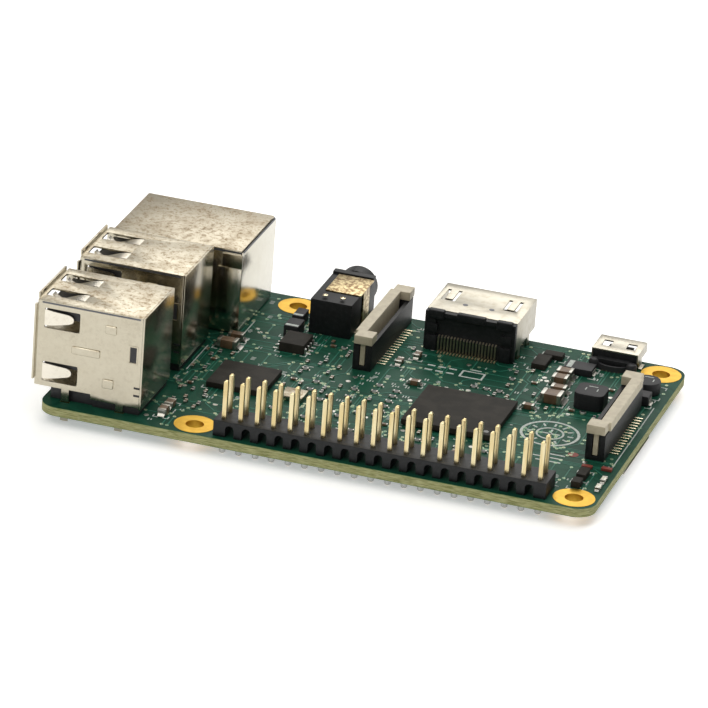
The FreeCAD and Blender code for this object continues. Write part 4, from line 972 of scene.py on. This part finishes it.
ceramic = Paint("fired_ceramic")
clay = ceramic.noise(0.5, 2.0)
colour = ceramic.blend(clay.between(0.35, 0.65), (0.11, 0.065, 0.035), (0.19, 0.12, 0.065))
ceramic_finish = ceramic.finish(colour, 0.45)
end_finish = mottled("tinned_ends", (3.0,), (0.36, 0.35, 0.31), (0.5, 0.49, 0.45), 0.34, 1.0, 0.02)
spots = footprint("ceramic_capacitors")
body = unit_block(-0.34, 0.34, 0.47, -0.47, 0.47, 0.05)
stamp("ceramic_bodies", body, spots, ceramic_finish, ["ceramic_capacitors"])
stamp("ceramic_ends", end_caps(), spots, end_finish)

film = Paint("resistor_film")
glaze = film.noise(4.0)
colour = film.blend(film.facing("Z").between(0.6, 0.9), (0.6, 0.6, 0.58), (0.015, 0.015, 0.02))
film_finish = film.finish(colour, 0.3 + glaze * 0.1)
spots = footprint("resistors")
body = unit_block(-0.32, 0.32, 0.48, -0.48, 0.46, 0.04)
stamp("resistor_bodies", body, spots, film_finish, ["resistors"])
stamp("resistor_ends", end_caps(), spots, end_finish)


# Moulded parts with tinned feet: tantalum capacitors with a printed polarity bar, wound inductors
# in ferrite cases, a resettable fuse, a surge diode, a crystal in a welded can and the status
# lights, which are small milky blocks.
paint_white = Paint("printed_marks")
patchy = paint_white.noise(3.0, 3.0)
colour = paint_white.blend(patchy.between(0.3, 0.7), (0.38, 0.42, 0.39), (0.56, 0.6, 0.56))
print_finish = paint_white.finish(colour, 0.55, specular_ior_level=0.2)
case_finish = mottled(
    "moulded_case", (4.0,), (0.012, 0.012, 0.014), (0.03, 0.03, 0.033), 0.55, relief=0.012,
    specular_ior_level=0.3,
)
eased("tantalum_capacitors", 0.1, case_finish)
eased("power_inductors", 0.12, case_finish)
eased("resettable_fuse", 0.08, case_finish)
eased("surge_diode", 0.1, case_finish)
eased("crystal_oscillator", 0.12, net_tin)
feet = bmesh.new()
marks = bmesh.new()
for node in ("tantalum_capacitors", "resettable_fuse", "surge_diode"):
    for middle, turn, size in footprint(node):
        way, cross = (ACROSS, ALONG) if turn else (ALONG, ACROSS)
        for side in (-1, 1):
            out = middle + way * side * (size.x / 2 + 0.02 * MM)
            line = [
                out + UP * (0.1 * size.z),
                out - UP * (size.z / 2 - 0.12 * MM),
                out - UP * (size.z / 2 - 0.06 * MM) + way * side * 0.35 * MM,
            ]
            bar(feet, line, 0.1 * MM, size.y * 0.6, cross)
        band = middle + way * (size.x * 0.33) + UP * (size.z / 2)
        reach = way * size.x * 0.09 + cross * size.y * 0.44
        reach = Vector((abs(reach.x), abs(reach.y), 0.015 * MM))
        slab(marks, band - reach, band + reach)
for middle, turn, size in footprint("power_inductors"):
    for side in (-1, 1):
        line = [middle + Vector((side * 0.9 * MM, step * 0.45 * MM, size.z / 2)) for step in (-1, 1)]
        bar(marks, line, 0.18 * MM, 0.02 * MM, UP)
    line = [middle + Vector((step * 0.7 * MM, -1.1 * MM, size.z / 2)) for step in (-1, 1)]
    bar(marks, line, 0.2 * MM, 0.02 * MM, UP)
piece("case_feet", feet, end_finish)
piece("case_marks", marks, print_finish)

lamp_finish = mottled("lamp_lens", (2.0,), (0.75, 0.72, 0.55), (0.88, 0.87, 0.75), 0.25, coat_weight=0.4)
spots = footprint("status_lights")
body = unit_block(-0.32, 0.32, 0.45, -0.48, 0.48, 0.12)
stamp("lamp_bodies", body, spots, lamp_finish, ["status_lights"])
stamp("lamp_ends", end_caps(), spots, end_finish)
for node in ("small_chips", "processor", "hub_chip", "crystal_oscillator", "memory_chip"):
    footprint(node)
for node in (
    "camera_connector_housing", "camera_connector_contacts", "display_connector_housing",
    "display_connector_contacts", "video_shell", "power_shell", "jack_housing", "chip_leads",
    "video_contacts", "power_contacts",
):
    block_off("top", *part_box(node), 0.3)
block_off("under", *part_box("memory_chip"), 0.4)


# The many smallest parts: blocks a millimetre long in loose rows between the chips, on both
# faces, reflow soldered at both ends, with bare tinned test pads beside them.
def rows_of_parts(face, seed, areas, share):
    """Places for small parts in rows, clear of everything that already stands on that face."""
    pick = random.Random(seed)
    found = []
    rise = 0.18 if face == "top" else -thickness - 0.18
    for x0, x1, y0, y1 in areas:
        y = y0
        while y < y1:
            turn = pick.choice((0, 90, 90))
            x = x0 + pick.uniform(0, 1)
            while x < x1:
                spot = at(x, y, rise)
                if pick.random() < share and is_free(face, spot, 0.75):
                    block_off(face, spot, spot, 0.35)
                    found.append((spot, turn, Vector((1.0, 0.5, 0.36)) * MM))
                x += 1.75 if turn == 0 else 1.0
                if pick.random() < 0.16:
                    x += pick.uniform(0.8, 3.0)
            y += 1.55 if turn else 1.05
    return found


for x0, y0, x1, y1 in ((7.4, 26.6, 18.2, 43), (27, 14.2, 37.2, 18.6)):
    block_off("top", at(x0, y0, 0), at(x1, y1, 0))
top_areas = (
    (47.5, 56, 13, 49), (36, 47, 30, 49), (40, 43.5, 10, 16), (63, 69, 19, 49), (20, 35, 39.8, 49),
    (18, 25, 10, 24.5), (34.5, 38, 24, 27), (8, 18, 12, 25), (70, 85, 19, 22),
)
small = rows_of_parts("top", 5, top_areas, 0.34)
under_areas = ((15, 35, 20, 45), (40, 66, 8, 45), (66, 84, 22, 48))
small += rows_of_parts("under", 6, under_areas, 0.2)
plain, coated = small[0::2], small[1::2]
body = unit_block(-0.3, 0.3, 0.47, -0.45, 0.47, 0.05)
stamp("small_ceramic_bodies", body, plain, ceramic_finish)
body = unit_block(-0.3, 0.3, 0.47, -0.45, 0.4, 0.04)
stamp("small_film_bodies", body, coated, film_finish)
tips = bmesh.new()
for side in (-1, 1):
    inner, outer = sorted((side * 0.28, side * 0.5))
    slab(tips, Vector((inner, -0.5, -0.5)), Vector((outer, 0.5, 0.5)), 0.07, 1)
stamp("small_part_ends", tips, small, end_finish, tilt=0.02, seed=9)

pad = bmesh.new()
lathe(pad, Vector(), in_mm([(0, 0.02), (0.38, 0.02), (0.42, -0.02), (0, -0.02)]), 14)
pick = random.Random(31)
pads = []
while len(pads) < 90:
    face = "top" if len(pads) < 45 else "under"
    spot = at(pick.uniform(3, 82), pick.uniform(3, 53), 0.0 if face == "top" else -thickness)
    if is_free(face, spot, 0.5):
        block_off(face, spot, spot, 0.3)
        pads.append((spot, 0, FULL_SIZE))
stamp("test_pads", pad, pads, end_finish)


# Printed marks: white ink strokes that outline the parts, short dashes beside them, a plain
# ringed dial by the display connector and a screen sign behind the video port.
ink = bmesh.new()
INK_WIDE, INK_TALL = 0.17 * MM, 0.05 * MM
INK_LIFT = 0.012


def stroke(points, wide=INK_WIDE, closed=False):
    bar(ink, [at(x, y, INK_LIFT) for x, y in points], wide, INK_TALL, UP, closed)


def circle(x, y, radius, around=32):
    turns = [2 * math.pi * k / around for k in range(around)]
    return [(x + radius * math.cos(a), y + radius * math.sin(a)) for a in turns]


corner = np.array(at(0, 0, 0))
for node in (
    "ceramic_capacitors", "tantalum_capacitors", "power_inductors", "resettable_fuse", "surge_diode",
    "small_chips", "hub_chip", "processor",
):
    for solid in islands(node):
        low, high = (solid.min(0) - corner) / MM, (solid.max(0) - corner) / MM
        x0, y0, x1, y1 = low[0] - 0.5, low[1] - 0.5, high[0] + 0.5, high[1] + 0.5
        notch = min(0.9, (x1 - x0) / 3, (y1 - y0) / 3)
        for x, y, dx, dy in ((x0, y0, 1, 1), (x1, y0, -1, 1), (x1, y1, -1, -1), (x0, y1, 1, -1)):
            stroke([(x + dx * notch, y), (x, y), (x, y + dy * notch)])
for line in (
    [(6.6, 49.7), (58.4, 49.7)], [(69.2, 24), (69.2, 34)], [(65.7, 12), (65.7, 19)],
    [(24.6, 9.6), (39.8, 9.6)], [(1.2, 16.2), (1.2, 39.8)],
):
    stroke(line)
dial = (12.9, 32.2)
for radius, wide in ((4.3, 0.42), (2.0, 0.3)):
    stroke(circle(*dial, radius), wide * MM, closed=True)
for k in range(12):
    angle = math.pi * k / 6
    stroke([(dial[0] + r * math.cos(angle), dial[1] + r * math.sin(angle)) for r in (2.7, 3.6)], 0.3 * MM)
for dx, dy in ((1.5, 0), (0, 1.5)):
    stroke([(dial[0] - dx, dial[1] - dy), (dial[0] + dx, dial[1] + dy)], 0.3 * MM)
for row, x1 in enumerate((11.2, 13.6, 12.4)):
    stroke([(8.6, 39.2 + row * 1.3), (x1, 39.2 + row * 1.3)], 0.34 * MM)
stroke([(27.8, 15.7), (31.2, 15.7), (31.2, 17.9), (27.8, 17.9)], 0.3 * MM, closed=True)
stroke([(28.6, 14.9), (30.4, 14.9)], 0.34 * MM)
for x0 in (32.2, 33.9, 35.6):
    for y in (15.9, 17.6):
        stroke([(x0, y), (x0 + 1.2, y)], 0.42 * MM)
piece("printed_ink", ink, print_finish)

red_finish = mottled("red_ink", (2.5,), (0.16, 0.03, 0.02), (0.3, 0.07, 0.05), 0.5, specular_ior_level=0.2)
ink = bmesh.new()
for x, y in ((7.7, 38.0), (74.5, 52.0)):
    lathe(ink, at(x, y, 0), in_mm([(0, -0.02), (0.8, -0.02), (0.8, 0.04), (0, 0.05)]), 20)
for x, y in ((4.6, 41.6), (1.7, 41.2)):
    slab(ink, at(x - 0.8, y - 0.4, -0.02), at(x + 0.8, y + 0.4, 0.45), 0.1 * MM)
piece("red_inspection_marks", ink, red_finish)

dash = bmesh.new()
slab(dash, Vector((-0.35, -0.09, -0.015)) * MM, Vector((0.35, 0.09, 0.015)) * MM)
pick = random.Random(47)
dashes = []
for _ in range(620):
    face = "top" if pick.random() < 0.7 else "under"
    x, y, turn = pick.uniform(2, 83), pick.uniform(2, 54), pick.choice((0, 90))
    spot = at(x, y, INK_LIFT if face == "top" else -thickness - INK_LIFT)
    if is_free(face, spot, 0.5):
        for k in range(pick.randrange(1, 4)):
            shift = Vector((0, 0.42 * k * MM, 0)) if turn == 0 else Vector((0.42 * k * MM, 0, 0))
            dashes.append((spot + shift, turn, (pick.choice((0.6, 1.0, 1.0)), 1, 1)))
stamp("ink_dashes", dash, dashes, print_finish)
